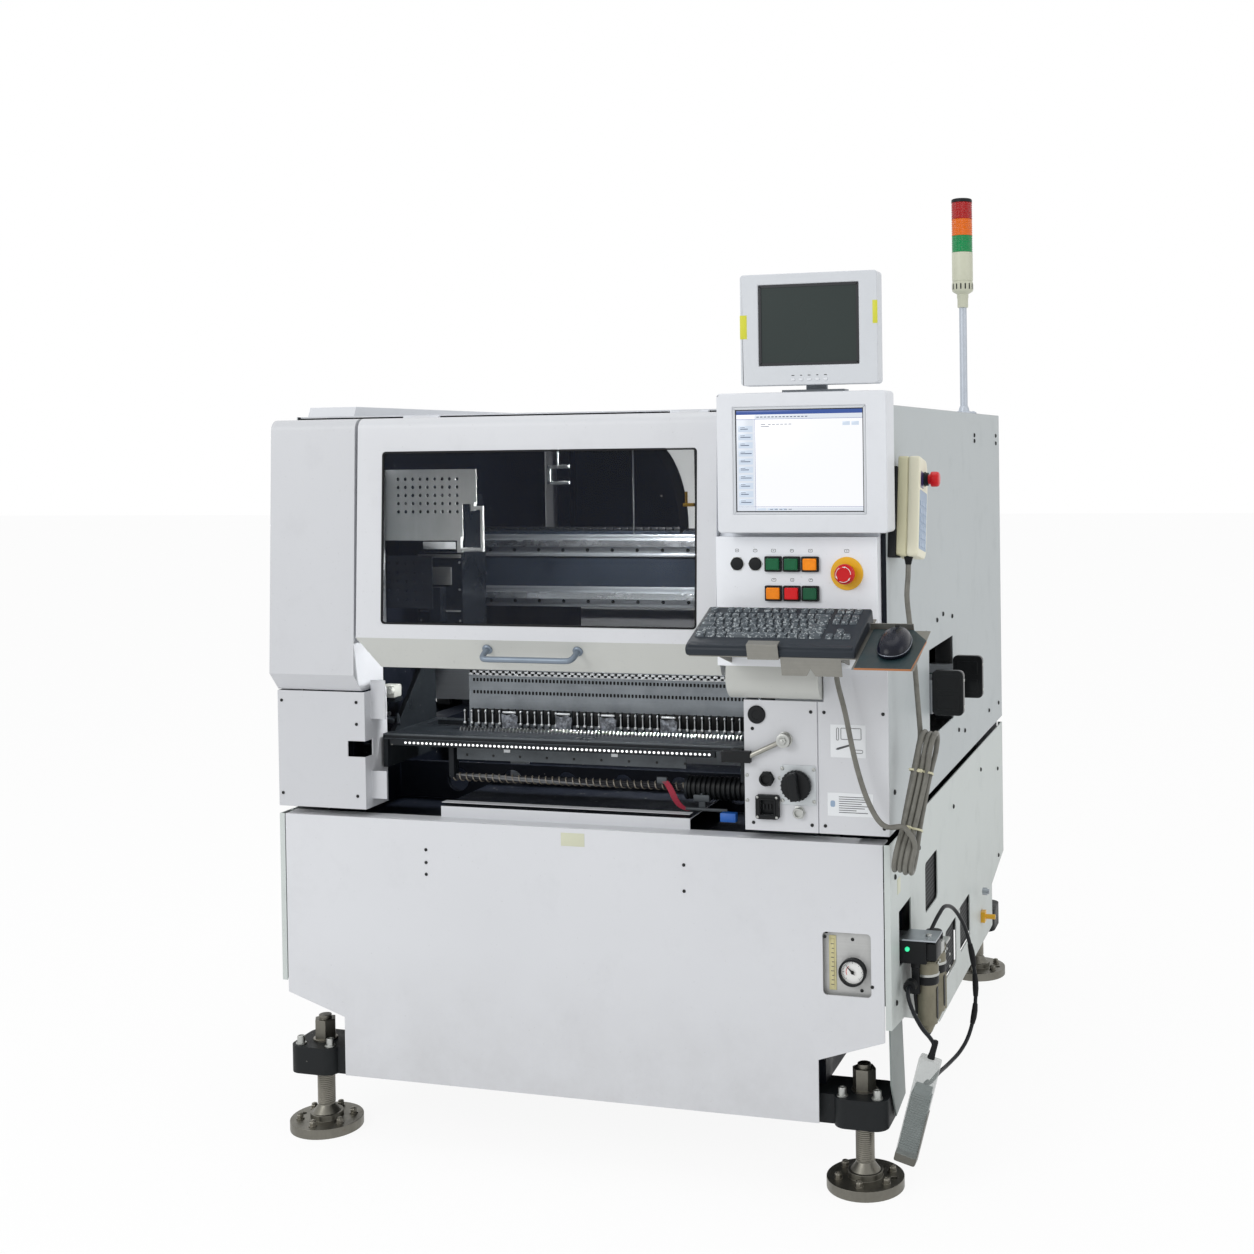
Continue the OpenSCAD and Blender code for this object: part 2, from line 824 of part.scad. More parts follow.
// Smoked pane parallel to the leaning face
module front_window() {
    lean = atan((face_lean - 4) / (face_top_z - brow_r - chin_z));
    pane_y = face_y - (face_lean - 4) * (face_top_z - brow_r - window_z) / (face_top_z - brow_r - chin_z);
    color("#20262c", 0.6)
        translate([window_x, pane_y + sheet + 0.2, window_z])
            rotate([-lean, 0, 0])
                translate([-window_w / 2 - 8, 0, -window_h / 2 - 8])
                    cube([window_w + 16, pane_t, window_h + 16]);
}

// Door pull on the chin: a bar on two posts square to the chin
module front_handle() {
    chin_dy = front_y - face_y + face_lean;
    chin_dz = chin_z - door_z;
    chin_len = sqrt(chin_dy * chin_dy + chin_dz * chin_dz);
    n_y = -chin_dz / chin_len;
    n_z = -chin_dy / chin_len;
    at_y = face_y - face_lean + 4 + chin_dy * 0.3;
    at_z = chin_z - chin_dz * 0.3;
    tilt = atan2(n_z, -n_y);
    color("#8f9aa6") {
        translate([(door_x0 + door_x1) / 2, at_y, at_z])
            rotate([-tilt, 0, 0]) {
                bar_x(-handle_len / 2, handle_len / 2, -handle_stand, 0, handle_d / 2);
                for (s = [-1, 1])
                    bar_y(s * (handle_len / 2 - handle_d), -handle_stand, 0, 0, handle_d / 2 - 1);
            }
    }
}

// Rear access door with its own pull
module rear_door() {
    color("#d3d6d8")
        mirror([0, 1, 0]) {
            cover_shell(-panel_x, panel_x, door_z, chin_z);
            door_knuckles(rear_leaves);
            slab_x(-handle_len / 2, handle_len / 2)
                polygon([
                    [face_y - face_lean + 5, chin_z], [face_y - face_lean - 14, chin_z],
                    [face_y - face_lean - 14, chin_z + 8], [face_y - face_lean + 5, chin_z + 4]
                ]);
        }
}

module main_display() {
    mid_z = display_z0 + display_h / 2;
    color("#dde0e4")
        difference() {
            slab_y(display_y, front_y)
                round_rect(display_x, mid_z, display_w, display_h, 7);
            block(display_x - 4 - screen_w / 2, display_x - 4 + screen_w / 2, display_y - 1, display_y + 6,
                mid_z + 4 - screen_h / 2, mid_z + 4 + screen_h / 2);
        }
}

module vision_display() {
    mid_z = vision_z0 + vision_h / 2;
    lug_r = tilt_pin_d / 2 + 5;
    view_w = vision_w - 70;
    view_h = vision_h - 56;
    color("#d3d6dc") {
        difference() {
            slab_y(vision_y, vision_y + vision_t)
                round_rect(vision_x, mid_z, vision_w, vision_h, 7);
            block(vision_x - view_w / 2, vision_x + view_w / 2, vision_y - 1, vision_y + 5,
                mid_z + 8 - view_h / 2, mid_z + 8 + view_h / 2);
        }
        for (s = [-1, 1])
            difference() {
                union() {
                    bar_x(vision_x + s * 30 - 7, vision_x + s * 30 + 7, tilt_y, tilt_z, lug_r);
                    block(vision_x + s * 30 - 7, vision_x + s * 30 + 7, vision_y + vision_t, tilt_y,
                        tilt_z - lug_r, tilt_z + lug_r);
                }
                bar_x(vision_x + s * 30 - 8, vision_x + s * 30 + 8, tilt_y, tilt_z,
                    tilt_pin_d / 2 + bore_gap);
            }
    }
}

// Foot on the main display, arm, and the pin the vision display tilts on
module display_mount() {
    foot_z = display_z0 + display_h;
    arm_y = front_y - 4;
    color("#9aa0a6") {
        block(vision_x - 60, vision_x + 60, arm_y - 34, arm_y, foot_z, foot_z + 5);
        block(vision_x - 20, vision_x + 20, arm_y - 8, arm_y, foot_z + 5, tilt_z);
        block(vision_x - 20, vision_x + 20, tilt_y, arm_y, tilt_z - 8, tilt_z + 8);
        bar_x(vision_x - 42, vision_x + 42, tilt_y, tilt_z, tilt_pin_d / 2);
    }
}

// Height of the lower edge of each part of the signal tower
tower_x = side_x - tower_in;
lens_z = body_h + pole_h + 136;
module signal_pole() {
    color("#c9cbb9") {
        bar_z(tower_x, tower_y, body_h, body_h + 10, pole_d * 1.6);
        bar_z(tower_x, tower_y, body_h + 10, body_h + pole_h, pole_d / 2);
        bar_z(tower_x, tower_y, body_h + pole_h, body_h + pole_h + 24, pole_d * 0.68);
        translate([tower_x, tower_y, body_h + pole_h + 24])
            cylinder(h = 8, r1 = pole_d * 0.68, r2 = lens_d / 2);
        bar_z(tower_x, tower_y, body_h + pole_h + 32, lens_z, lens_d / 2);
        bar_z(tower_x, tower_y, lens_z + 3 * lens_h, lens_z + 3 * lens_h + 10, lens_d / 2);
    }
}

module lens(index, shade) {
    color(shade)
        bar_z(tower_x, tower_y, lens_z + index * lens_h, lens_z + (index + 1) * lens_h, lens_d / 2 - 0.5);
}

module signal_green() { lens(0, "#12a05a"); }
module signal_amber() { lens(1, "#f08a1c"); }
module signal_red() { lens(2, "#c8252b"); }

// Lit push buttons in two rows of three
function button_place(n) = [button_x + (n % 3 - 1) * button_pitch_x, button_z - floor(n / 3) * button_pitch_z];
bezel_t = 6;
module push_button(n, shade) {
    at = button_place(n);
    color(shade)
        slab_y(console_y - bezel_t - 5, console_y - run_gap - button_travel)
            round_rect(at[0], at[1], button_w, button_h, 2);
}

module button_1() { push_button(0, "#1f7a4d"); }
module button_2() { push_button(1, "#1f7a4d"); }
module button_3() { push_button(2, "#f39a1f"); }
module button_4() { push_button(3, "#f39a1f"); }
module button_5() { push_button(4, "#e0242b"); }
module button_6() { push_button(5, "#1f7a4d"); }

// Bezels, plugs, discs and sockets that sit on the covers
module panel_fittings() {
    color("#17181a") {
        for (n = [0:5])
            slab_y(console_y - bezel_t, console_y)
                difference() {
                    round_rect(button_place(n)[0], button_place(n)[1], button_w + 7, button_h + 7, 2);
                    square_hole(button_place(n));
                }
        for (dx = [-72, -36])
            bar_y(button_place(0)[0] + dx, console_y - 4, console_y, button_z, 11);
        // Round plug, round connector and square socket on the lower right cover
        bar_y(right_cover_x + 26, front_y - 4, front_y, cover_z + 222, 17);
        bar_y(right_cover_x + 45, front_y - 12, front_y, cover_z + 100, 13);
        difference() {
            slab_y(front_y - 10, front_y)
                round_rect(right_cover_x + 47, cover_z + 47, 44, 44, 4);
            slab_y(front_y - 11, front_y - 4)
                round_rect(right_cover_x + 47, cover_z + 47, 30, 30, 2);
        }
    }
    color("#f2c21a")
        difference() {
            union() {
                bar_y(stop_x, console_y - 3, console_y, stop_z, stop_disc_d / 2);
                bar_y(stop_x, console_y - 8, console_y - 3, stop_z, stop_stem_r + 4);
            }
            bar_y(stop_x, console_y - 9, console_y + 1, stop_z, stop_stem_r + bore_gap);
        }
    color("#c9ced2") {
        difference() {
            slab_y(front_y - 2, front_y)
                round_rect(switch_x + 3, switch_z, 70, 76, 5);
            bar_y(switch_x, front_y - 3, front_y + 1, switch_z, 9);
        }
        bar_y(right_cover_x + 108, front_y - 9, front_y, cover_z + 38, 11);
    }
}

module square_hole(at) {
    translate(at)
        square([button_w + 2 * run_gap, button_h + 2 * run_gap], center = true);
}

// Mushroom head and its stem
module emergency_stop() {
    color("#d9202a") {
        head_back = console_y - 9 - stop_travel;
        bar_y(stop_x, head_back - 14, head_back, stop_z, stop_d / 2);
        bar_y(stop_x, head_back - 18, head_back - 14, stop_z, stop_d / 2 - 4);
        bar_y(stop_x, head_back, console_y - run_gap - stop_travel, stop_z, stop_stem_r);
    }
}

// Rotary main switch: round knob with a grip ridge, on a shaft through the cover
module main_switch() {
    color("#1b1d20") {
        bar_y(switch_x, front_y - 14, front_y - 2 - run_gap, switch_z, switch_d / 2);
        slab_y(front_y - 34, front_y - 14)
            round_rect(switch_x, switch_z, 15, switch_d - 4, 6);
        bar_y(switch_x, front_y - 2 - run_gap, front_y + 14, switch_z, 9 - bore_gap);
    }
}
// Point on the tilted tray: s along the slope, h above it
function tray_pt(s, h) = [
    tray_y + s * cos(tray_tilt) - h * sin(tray_tilt),
    tray_z + s * sin(tray_tilt) + h * cos(tray_tilt)
];

module on_tray() {
    translate([0, tray_y, tray_z])
        rotate([tray_tilt, 0, 0])
            children();
}

// Sheet tray with its front flange and clip, the mouse shelf and two arms to the operating panel
module keyboard_tray() {
    tray_l = 170;
    clip_x0 = tray_x0 + 113;
    clip_x1 = clip_x0 + 58;
    shelf_y = -40;
    arm_back = console_y;
    color("#c4c3bd") {
        on_tray() {
            block(tray_x0, tray_x1, 0, tray_l, -2, 0);
            block(clip_x0, clip_x1, -8, 0, -2, 0);
            block(clip_x0, clip_x1, -8, -6, 0, keyboard_t + 3);
            block(clip_x0, clip_x1, -6, 10, keyboard_t + 1, keyboard_t + 3);
            // Front flange with a notch
            slab_y(0, 2)
                polygon([
                    [clip_x1, -2], [tray_x1 - 28, -2], [tray_x1 - 28, -36], [clip_x1 + 62, -36],
                    [clip_x1 + 54, -22], [clip_x1 + 46, -36], [clip_x1, -36]
                ]);
            block(tray_x1, tray_x1 + shelf_w, shelf_y, shelf_y + shelf_l, -2, 0);
            block(tray_x1, tray_x1 + shelf_w - 30, shelf_y + shelf_l - 2, shelf_y + shelf_l, 0, 14);
        }
        for (x = [tray_x0 + 20, tray_x1 - 60])
            slab_x(x, x + 4)
                polygon([
                    tray_pt(30, -2), tray_pt(tray_l, -2), [arm_back, tray_pt(tray_l, -2)[1]],
                    [arm_back, console_z + 6]
                ]);
        // Gland of the pendant cord, hung under the right arm
        bar_z(tray_x1 - 78, console_y - 12, console_z + 4, console_z + 22, 9);
        block(tray_x1 - 78, tray_x1 - 60, console_y - 12, console_y, console_z + 12, console_z + 22);
    }
    color("#2c3236")
        on_tray()
            mouse_mat(shelf_y);
}

// Mouse mat with one cut corner
module mouse_mat(shelf_y) {
    linear_extrude(mat_t)
        polygon([
            [tray_x1 + 6, shelf_y - 4], [tray_x1 + shelf_w - 4, shelf_y - 4],
            [tray_x1 + shelf_w + 2, shelf_y + shelf_l - 50],
            [tray_x1 + shelf_w - 30, shelf_y + shelf_l - 4], [tray_x1 + 6, shelf_y + shelf_l - 4]
        ]);
}

module keyboard() {
    x0 = tray_x0 - 5;
    color("#2d3034")
        on_tray()
            slab_x(x0, x0 + keyboard_w)
                polygon([
                    [-3, 0], [keyboard_l - 3, 0], [keyboard_l - 3, keyboard_t + 4],
                    [keyboard_l - 12, keyboard_t + 6], [2, keyboard_t], [-3, keyboard_t - 6]
                ]);
}

// Mouse: a rounded shell on the mat
module mouse() {
    mouse_w = 56;
    mouse_l = 104;
    color("#17191d")
        on_tray()
            translate([tray_x1 + 62, 40, mat_t])
                intersection() {
                    bar_x(-mouse_w / 2, mouse_w / 2, 0, -34, 68);
                    linear_extrude(40)
                        round_rect(0, 0, mouse_w, mouse_l, 24);
                }
}

module on_holder() {
    translate([pendant_x, pendant_y, pendant_z])
        rotate([-pendant_lean, 0, 0])
            children();
}

// Holder plate on the side cover with a ledge under the pendant
module pendant_holder() {
    color("#1c1e20")
        on_holder() {
            block(-holder_t, 0, -pendant_w / 2 - 3, pendant_w / 2 - 14, -pendant_h / 2 + 6, pendant_h / 2 - 20);
            block(0, 8, -pendant_w / 2 - 3, -pendant_w / 2 + 10, -pendant_h / 2 - 3, -pendant_h / 2);
            block(-holder_t, 0, -pendant_w / 2 - 3, -pendant_w / 2 + 10, -pendant_h / 2 - 3,
                -pendant_h / 2 + 6);
        }
}

module pendant() {
    color("#d8d3b0")
        on_holder() {
            stop_up = pendant_h / 2 - 38;
            difference() {
                slab_x(0, pendant_t)
                    polygon([
                        [-pendant_w / 2, -pendant_h / 2], [pendant_w / 2 - 12, -pendant_h / 2],
                        [pendant_w / 2, -pendant_h / 2 + 12], [pendant_w / 2, pendant_h / 2 - 30],
                        [pendant_w / 2 - 16, pendant_h / 2], [-pendant_w / 2, pendant_h / 2]
                    ]);
                block(pendant_t - 3, pendant_t + 1, -pendant_w / 2 + 8, pendant_w / 2 - 8,
                    -pendant_h / 2 + 14, pendant_h / 2 - 72);
            }
            // Collar that guides the stop button
            difference() {
                bar_x(pendant_t, pendant_t + 8, 8, stop_up, pendant_stem_r + 3);
                bar_x(pendant_t - 1, pendant_t + 9, 8, stop_up, pendant_stem_r + bore_gap);
            }
            // Strain relief of the cord
            bar_z(pendant_t / 2, relief_y, relief_z, -pendant_h / 2, 8);
        }
}

module pendant_stop() {
    at_z = pendant_h / 2 - 38;
    head_x0 = pendant_t + 9 + stop_travel;
    color("#cf2a2c")
        on_holder() {
            bar_x(head_x0, head_x0 + 16, 8, at_z, pendant_stop_d / 2);
            bar_x(pendant_t + stop_travel + run_gap, head_x0, 8, at_z, pendant_stem_r);
        }
}

// Cord: the tube follows hand-set points; each ring of its skin lies square to the route
cord_r = 5;
lead_r = 4;
relief_end = [
    pendant_y + relief_y * cos(pendant_lean) + relief_z * sin(pendant_lean),
    pendant_z - relief_y * sin(pendant_lean) + relief_z * cos(pendant_lean)
];
hank_low = [684, -716, 658];
hank_top = [712, -650, 846];
hank_turn = [
    -asin((hank_top - hank_low)[1] / norm(hank_top - hank_low)),
    atan2((hank_top - hank_low)[0], (hank_top - hank_low)[2]),
    0
];
cord_down = [
    [pendant_x + pendant_t / 2, relief_end[0], relief_end[1]],
    [pendant_x + pendant_t / 2, relief_end[0] - 24 * sin(pendant_lean), relief_end[1] - 24 * cos(pendant_lean)],
    [685, -684, 1136], [687, -678, 1096], [690, -668, 1050], [693, -658, 1000], [695, -650, 950],
    [697, -646, 910], [699, -643, 890], [700, -641, 875.2]
];
cord_up = [
    [684, -714.6, 709], [683, -729, 712], [676, -742, 714], [658, -749, 715], [638, -748, 729],
    [618, -744, 764],
    [602, -742, 810], [590, -742, 860], [578, -741, 920], [566, -739, 965], [562, -739, 985],
    [562, -739, 996], [562, -739, 1007]
];
lead_route = [
    [690, -558, 456], [692, -546, 461], [698, -526, 476], [704, -504, 489], [710, -472, 496], [720, -430, 480], [734, -392, 436],
    [744, -366, 376], [750, -358, 312], [750, -370, 256], [742, -396, 214], [730, -430, 192],
    [716, -480, 184], [706, -540, 186], [702, -595, 190], [700, -625, 197], [700, -648.8, 200]
];
bowl_lead = [
    [672, -644, 386], [672, -656, 386], [676, -672, 376], [686, -678, 352], [702, -676, 322],
    [716, -669, 302], [722, -664, 286], [715.8, -664, 261.3]
];

function unit(v) = v / norm(v);
// Catmull-Rom point between p[i] and p[i + 1]
function spline_pt(p, i, t) =
    let (
        n = len(p) - 1,
        a = p[max(i - 1, 0)],
        b = p[i],
        c = p[min(i + 1, n)],
        d = p[min(i + 2, n)]
    )
    0.5 * (2 * b + (c - a) * t + (2 * a - 5 * b + 4 * c - d) * t * t + (3 * b - a - 3 * c + d) * t * t * t);
function route(p, steps) = concat(
    [for (i = [0:len(p) - 2], k = [0:steps - 1]) spline_pt(p, i, k / steps)],
    [p[len(p) - 1]]
);

// A tube of radius r along a list of points
module tube(p, r, sides) {
    n = len(p);
    rings = [for (i = [0:n - 1])
        let (
            along = unit(p[min(i + 1, n - 1)] - p[max(i - 1, 0)]),
            across = unit(cross(along, [0.3, 0.2, 1] - along * (along * [0.3, 0.2, 1]))),
            up = cross(along, across)
        )
        for (k = [0:sides - 1]) p[i] + r * (across * cos(k * 360 / sides) + up * sin(k * 360 / sides))];
    faces = concat(
        [[for (k = [0:sides - 1]) k]],
        [for (i = [0:n - 2], k = [0:sides - 1])
            [i * sides + k, (i + 1) * sides + k, (i + 1) * sides + (k + 1) % sides, i * sides + (k + 1) % sides]],
        [[for (k = [sides - 1:-1:0]) (n - 1) * sides + k]]
    );
    polyhedron(rings, faces);
}

module pendant_cord() {
    color("#7d7b72") {
        tube(route(cord_down, 3), cord_r, 10);
        tube(route(cord_up, 3), cord_r, 10);
    }
}

// The tied hank as one closed solid: two lobes and a waist, leaning like its turns
module pendant_hank() {
    lobe_r = 30;
    waist = 32;
    stack = 42;
    reach = norm(hank_top - hank_low);
    color("#7d7b72")
        translate(hank_low)
            rotate(hank_turn)
                slab_x(-stack / 2, stack / 2) {
                    for (z = [0, reach])
                        translate([0, z])
                            circle(lobe_r);
                    translate([-waist / 2, 0])
                        square([waist, reach]);
                }
}

module air_leads() {
    color("#202225") {
        tube(route(lead_route, 3), lead_r, 8);
        tube(route(bowl_lead, 3), lead_r, 8);
    }
}
// Switch box, clamp plate, two filter bowls, inlet and outlet blocks on the right side
module air_unit() {
    plate_x = bowl_x + bowl_d / 2 + 4;
    color("#26282b") {
        block(ring_x, plate_x - 18, hatch_y0 + 8, hatch_y0 + 70, hatch_z0 + 6, hatch_z0 + 50);
        bar_y(side_x + 22, bowl_y1 - 62, bowl_y1 - 42, bowl_top - 34, 12);
    }
    color("#b7bbbd")
        block(side_x + 4, plate_x + 2, hatch_y0 + 6, hatch_y0 + 74, hatch_z0 + 50, hatch_z0 + 53);
    color("#b3ad98") {
        // Heads of the two filters and the block between them
        block(side_x + 2, bowl_x + bowl_d / 2, bowl_y1 - 20, bowl_y2 + 22, bowl_top, hatch_z0 + 6);
        block(ring_x, side_x + 2, hatch_y0 + 74, hatch_y0 + hatch_w - 4, bowl_top, hatch_z0 + 30);
        for (y = [bowl_y1, bowl_y2]) {
            bar_z(bowl_x, y, bowl_top - 26, bowl_top, bowl_d / 2 + 3);
            bar_z(bowl_x, y, bowl_top - bowl_h, bowl_top - 26, bowl_d / 2);
            translate([bowl_x, y, bowl_top - bowl_h - 18])
                cylinder(h = 18, r1 = 9, r2 = bowl_d / 2 - 3);
        }
        block(bowl_x - 12, bowl_x + 12, bowl_y2 + 22, bowl_y2 + 60, bowl_top - 60, bowl_top + 4);
        bar_z(bowl_x, bowl_y2 + 44, bowl_top - 130, bowl_top - 60, 16);
    }
    // Nipple that the supply hose is pushed on, near the rear foot
    color("#c9a227") {
        block(inner_x - 12, side_x + 10, inlet_y - 13, inlet_y + 13, inlet_z - 13, inlet_z + 13);
        bar_x(side_x + 10, side_x + 10 + inlet_len, inlet_y, inlet_z, inlet_d / 2);
        block(inner_x - 12, inner_x, inlet_y - 22, inlet_y + 22, inlet_z - 22, inlet_z + 22);
    }
}

// Knob on top of the second filter
module regulator_knob() {
    color("#3a3d40") {
        bar_z(bowl_x, bowl_y2, hatch_z0 + 12, hatch_z0 + 40, 17);
        bar_z(bowl_x, bowl_y2, hatch_z0 + 6 + run_gap, hatch_z0 + 12, 9);
    }
}

// Recessed plate behind the window of the front panel, with the gauge body
module pressure_gauge() {
    plate_y = front_y + 12;
    color("#e4e6e8")
        difference() {
            slab_y(plate_y, plate_y + 2)
                round_rect(gauge_x - 10, gauge_z + 15, 110, 136, 4);
            bar_y(gauge_x, plate_y - 1, plate_y + 3, gauge_z, gauge_d / 2 - 6);
        }
    color("#222426") {
        difference() {
            bar_y(gauge_x, plate_y - 14, plate_y, gauge_z, gauge_d / 2);
            bar_y(gauge_x, plate_y - 15, plate_y - 6, gauge_z, gauge_d / 2 - 4);
        }
        bar_y(gauge_x, plate_y, plate_y + 16, gauge_z, gauge_d / 2 - 6);
        bar_y(gauge_x, plate_y - 11, plate_y - 6, gauge_z, 1.5);
        // Arm from the gauge plate to the corner post
        block(ring_x - 30, ring_x + 14, plate_y + 2, -ring_y, gauge_z - 20, gauge_z + 20);
    }
}

module gauge_needle() {
    hub_y = front_y + 1.5;
    color("#202020")
        difference() {
            union() {
                bar_y(gauge_x, hub_y, hub_y + 1.6, gauge_z, 3.5);
                slab_y(hub_y, hub_y + 0.8)
                    polygon([
                        [gauge_x - 13, gauge_z + 13], [gauge_x - 1.5, gauge_z - 1.5],
                        [gauge_x + 5, gauge_z - 5], [gauge_x + 1.5, gauge_z + 1.5]
                    ]);
            }
            bar_y(gauge_x, hub_y - 1, hub_y + 3, gauge_z, 1.5 + bore_gap);
        }
}

// Ribbed translucent case that hangs from the leads beside the front right foot
case_top = [716, -652, 262];
case_low = [664, -664, 62];
module hanging_case() {
    long = norm(case_top - case_low);
    lean = atan2(case_top[0] - case_low[0], case_top[2] - case_low[2]);
    color("#aeb4b2")
        translate(case_low)
            rotate([0, lean, 0])
                translate([-21, -16, 0])
                    cube([42, 32, long]);
}

// Cross beam with its two trucks and the rails of the head
module gantry_beam() {
    wall = 8;
    color("#3b4046") {
        difference() {
            block(-gantry_x, gantry_x, beam_y, beam_y + gantry_t, gantry_z, gantry_top);
            block(-gantry_x + wall, gantry_x - wall, beam_y + wall, beam_y + gantry_t - wall,
                gantry_z + wall, gantry_top - wall);
            for (i = [-2:2])
                bar_y(i * 180, beam_y + gantry_t - wall - 1, beam_y + gantry_t + 1, gantry_z + gantry_h / 2, 30);
        }
        for (s = [-1, 1])
            block(min(s * gantry_x, s * (wall_out + 10)), max(s * gantry_x, s * (wall_out + 10)),
                beam_y - 30, beam_y + gantry_t + 50, truck_z, gantry_top - 20);
    }
    color("#c5cbd0")
        for (z = [rail_low_z, rail_high_z])
            block(-gantry_x, gantry_x, beam_y - 18, beam_y, z - 7, z + 7);
}

// Placement head with four blind bores for the nozzles
function nozzle_x(i) = head_x + (i - 2.5) * nozzle_pitch;
bore_h = nozzle_travel + 80;
module placement_head() {
    color("#24282c")
        difference() {
            union() {
                block(head_x - head_w / 2, head_x + head_w / 2, head_y - head_t, head_y, head_z0, gantry_top - 40);
                block(head_x - head_w / 2 + 6, head_x + head_w / 2 - 6, head_y - head_t + 30, head_y,
                    gantry_top - 40, head_z1);
                block(head_x - 14, head_x + 14, head_y - head_t - 26, head_y - head_t, head_z0 + 20, head_z0 + 96);
            }
            for (i = [1:4])
                bar_z(nozzle_x(i), nozzle_y, head_z0 - 1, head_z0 + bore_h + 6, nozzle_d / 2 + bore_gap);
        }
}

module nozzle(i) {
    color("#b8bcc0") {
        bar_z(nozzle_x(i), nozzle_y, nozzle_z + 30, head_z0 + bore_h, nozzle_d / 2);
        bar_z(nozzle_x(i), nozzle_y, nozzle_z + 22, nozzle_z + 30, nozzle_d * 0.9);
        translate([nozzle_x(i), nozzle_y, nozzle_z])
            cylinder(h = 22, r1 = 2, r2 = nozzle_d / 2);
    }
}

module nozzle_1() { nozzle(1); }
module nozzle_2() { nozzle(2); }
module nozzle_3() { nozzle(3); }
module nozzle_4() { nozzle(4); }

// One conveyor rail with its belt lip and black end covers
module track(y0, inner) {
    color("#a9b0b5") {
        block(-side_x - 4, side_x + 4, y0, y0 + track_t, line_z - 50, line_z + 22);
        block(-side_x - 4, side_x + 4, inner > 0 ? y0 + track_t : y0 - 6, inner > 0 ? y0 + track_t + 6 : y0,
            line_z - 8, line_z);
    }
}

module track_cap(s, y0) {
    cap_len = 66;
    color("#1c1e20")
        slab_y(y0, y0 + track_t)
            round_rect(s * (side_x + 4 + cap_len / 2), line_z - 5, cap_len, 94, 10);
}

module conveyor_front_rail() {
    track(track_y0, 1);
    for (s = [-1, 1])
        track_cap(s, track_y0);
    color("#a9b0b5") {
        for (s = [-1, 1]) {
            block(s * guide_x - 20, s * guide_x + 20, track_y0, track_y0 + track_t, bed_z, line_z - 50);
            bar_y(s * guide_x, track_y0 + track_t, track_foot_y, guide_z, guide_d / 2);
        }
        block(-guide_x - 40, guide_x + 40, track_foot_y, track_foot_y + 12, bed_z, line_z);
    }
}

module conveyor_rear_rail() {
    for (s = [-1, 1])
        track_cap(s, track_y1);
    difference() {
        track(track_y1, -1);
        for (s = [-1, 1])
            bar_y(s * guide_x, track_y1 - 1, track_y1 + track_t + 1, guide_z, guide_d / 2 + bore_gap);
    }
}

// Shelf, slotted plates, clamps and arms that the feeders are hooked into
module feeder_bank() {
    arm_t = 10;
    shelf_t = 12;
    low_plate_h = 44;
    plate_x0 = bank_x0 + 137;
    plate_x1 = bank_x1 - 20;
    plate_h = 76;
    slots = floor((plate_x1 - plate_x0 - 16) / slot_pitch);
    clamps = floor((plate_x1 - plate_x0 - 8) / clamp_pitch);
    color("#1f2326") {
        difference() {
            union() {
                block(bank_x0, bank_x1, bank_y0, bank_y1, bank_z - shelf_t, bank_z);
                for (x = [bank_x0, bank_x1 - arm_t])
                    slab_x(x, x + arm_t)
                        polygon([
                            [bank_y0, bank_z - 70], [bank_y1, bank_z - 70], [bank_y1, bank_z + 120],
                            [bank_y1 - 60, bank_z + 120], [bank_y0 + 30, bank_z]
                            , [bank_y0, bank_z]
                        ]);
            }
            block(bank_x0 + arm_t + 20, bank_x1 - arm_t - 20, slot_plate_y + 8, bank_y1 - 30,
                bank_z - shelf_t - 1, bank_z + 1);
        }
        // Brackets to the side walls
        block(-wall_in, bank_x0, bank_y0 + 70, bank_y1 - 20, bank_z - 60, bank_z - 40);
        block(bank_x1, wall_in, bank_y0 + 70, bank_y1 - 20, bank_z - 60, bank_z - 40);
        // Lit edge strip
        block(bank_x0 + 20, bank_x1 - 60, bank_y0 - 8, bank_y0, strip_z - 6, strip_z + 6);
    }
    color("#8f979c")
        slab_y(slot_plate_y, slot_plate_y + sheet)
            difference() {
                translate([plate_x0, bank_z])
                    square([plate_x1 - plate_x0, plate_h + 40]);
                for (i = [0:slots - 1], z = [bank_z + 70, bank_z + 96])
                    translate([plate_x0 + 8 + (i + 0.5) * slot_pitch - slot_wide / 2, z])
                        square([slot_wide, 7]);
                translate([plate_x0 + 10, bank_z + 8])
                    square([plate_x1 - plate_x0 - 20, 30]);
            }
    color("#3c4247")
        block(bank_x0 + 147, bank_x1 - 138, bank_y0 + 42, bank_y0 + 42 + sheet, bank_z - shelf_t - low_plate_h,
            bank_z - shelf_t);
    color("#a5a9ab")
        for (i = [0:clamps - 1])
            block(plate_x0 + 8 + i * clamp_pitch - 2, plate_x0 + 8 + i * clamp_pitch + 2, slot_plate_y - 34,
                slot_plate_y - 28, bank_z, bank_z + 44);
}

// Rod with an eye that locks the bank; the eye turns on a stud in the lower right cover
module bank_link() {
    eye_x = right_cover_x + 82;
    eye_z = cover_z + 176;
    rod_x = right_cover_x + 12;
    rod_z = cover_z + 143;
    lean = atan2(eye_z - rod_z, eye_x - rod_x);
    long = norm([eye_x - rod_x, eye_z - rod_z]);
    color("#a7a69e") {
        bar_y(eye_x, front_y - 18, front_y, eye_z, 5);
        bar_y(eye_x, front_y - 16, front_y - 4, eye_z, 13);
        translate([rod_x, front_y - 10, rod_z])
            rotate([0, -lean, 0])
                rotate([0, 90, 0])
                    cylinder(h = long - 8, r = 5);
    }
    color("#1f2326") {
        block(bank_x1 - 24, rod_x + 4, front_y - 16, front_y - 4, rod_z - 12, rod_z + 10);
        block(bank_x1 - 24, bank_x1 - 4, front_y - 4, bank_y0, rod_z - 12, rod_z + 2);
    }
}

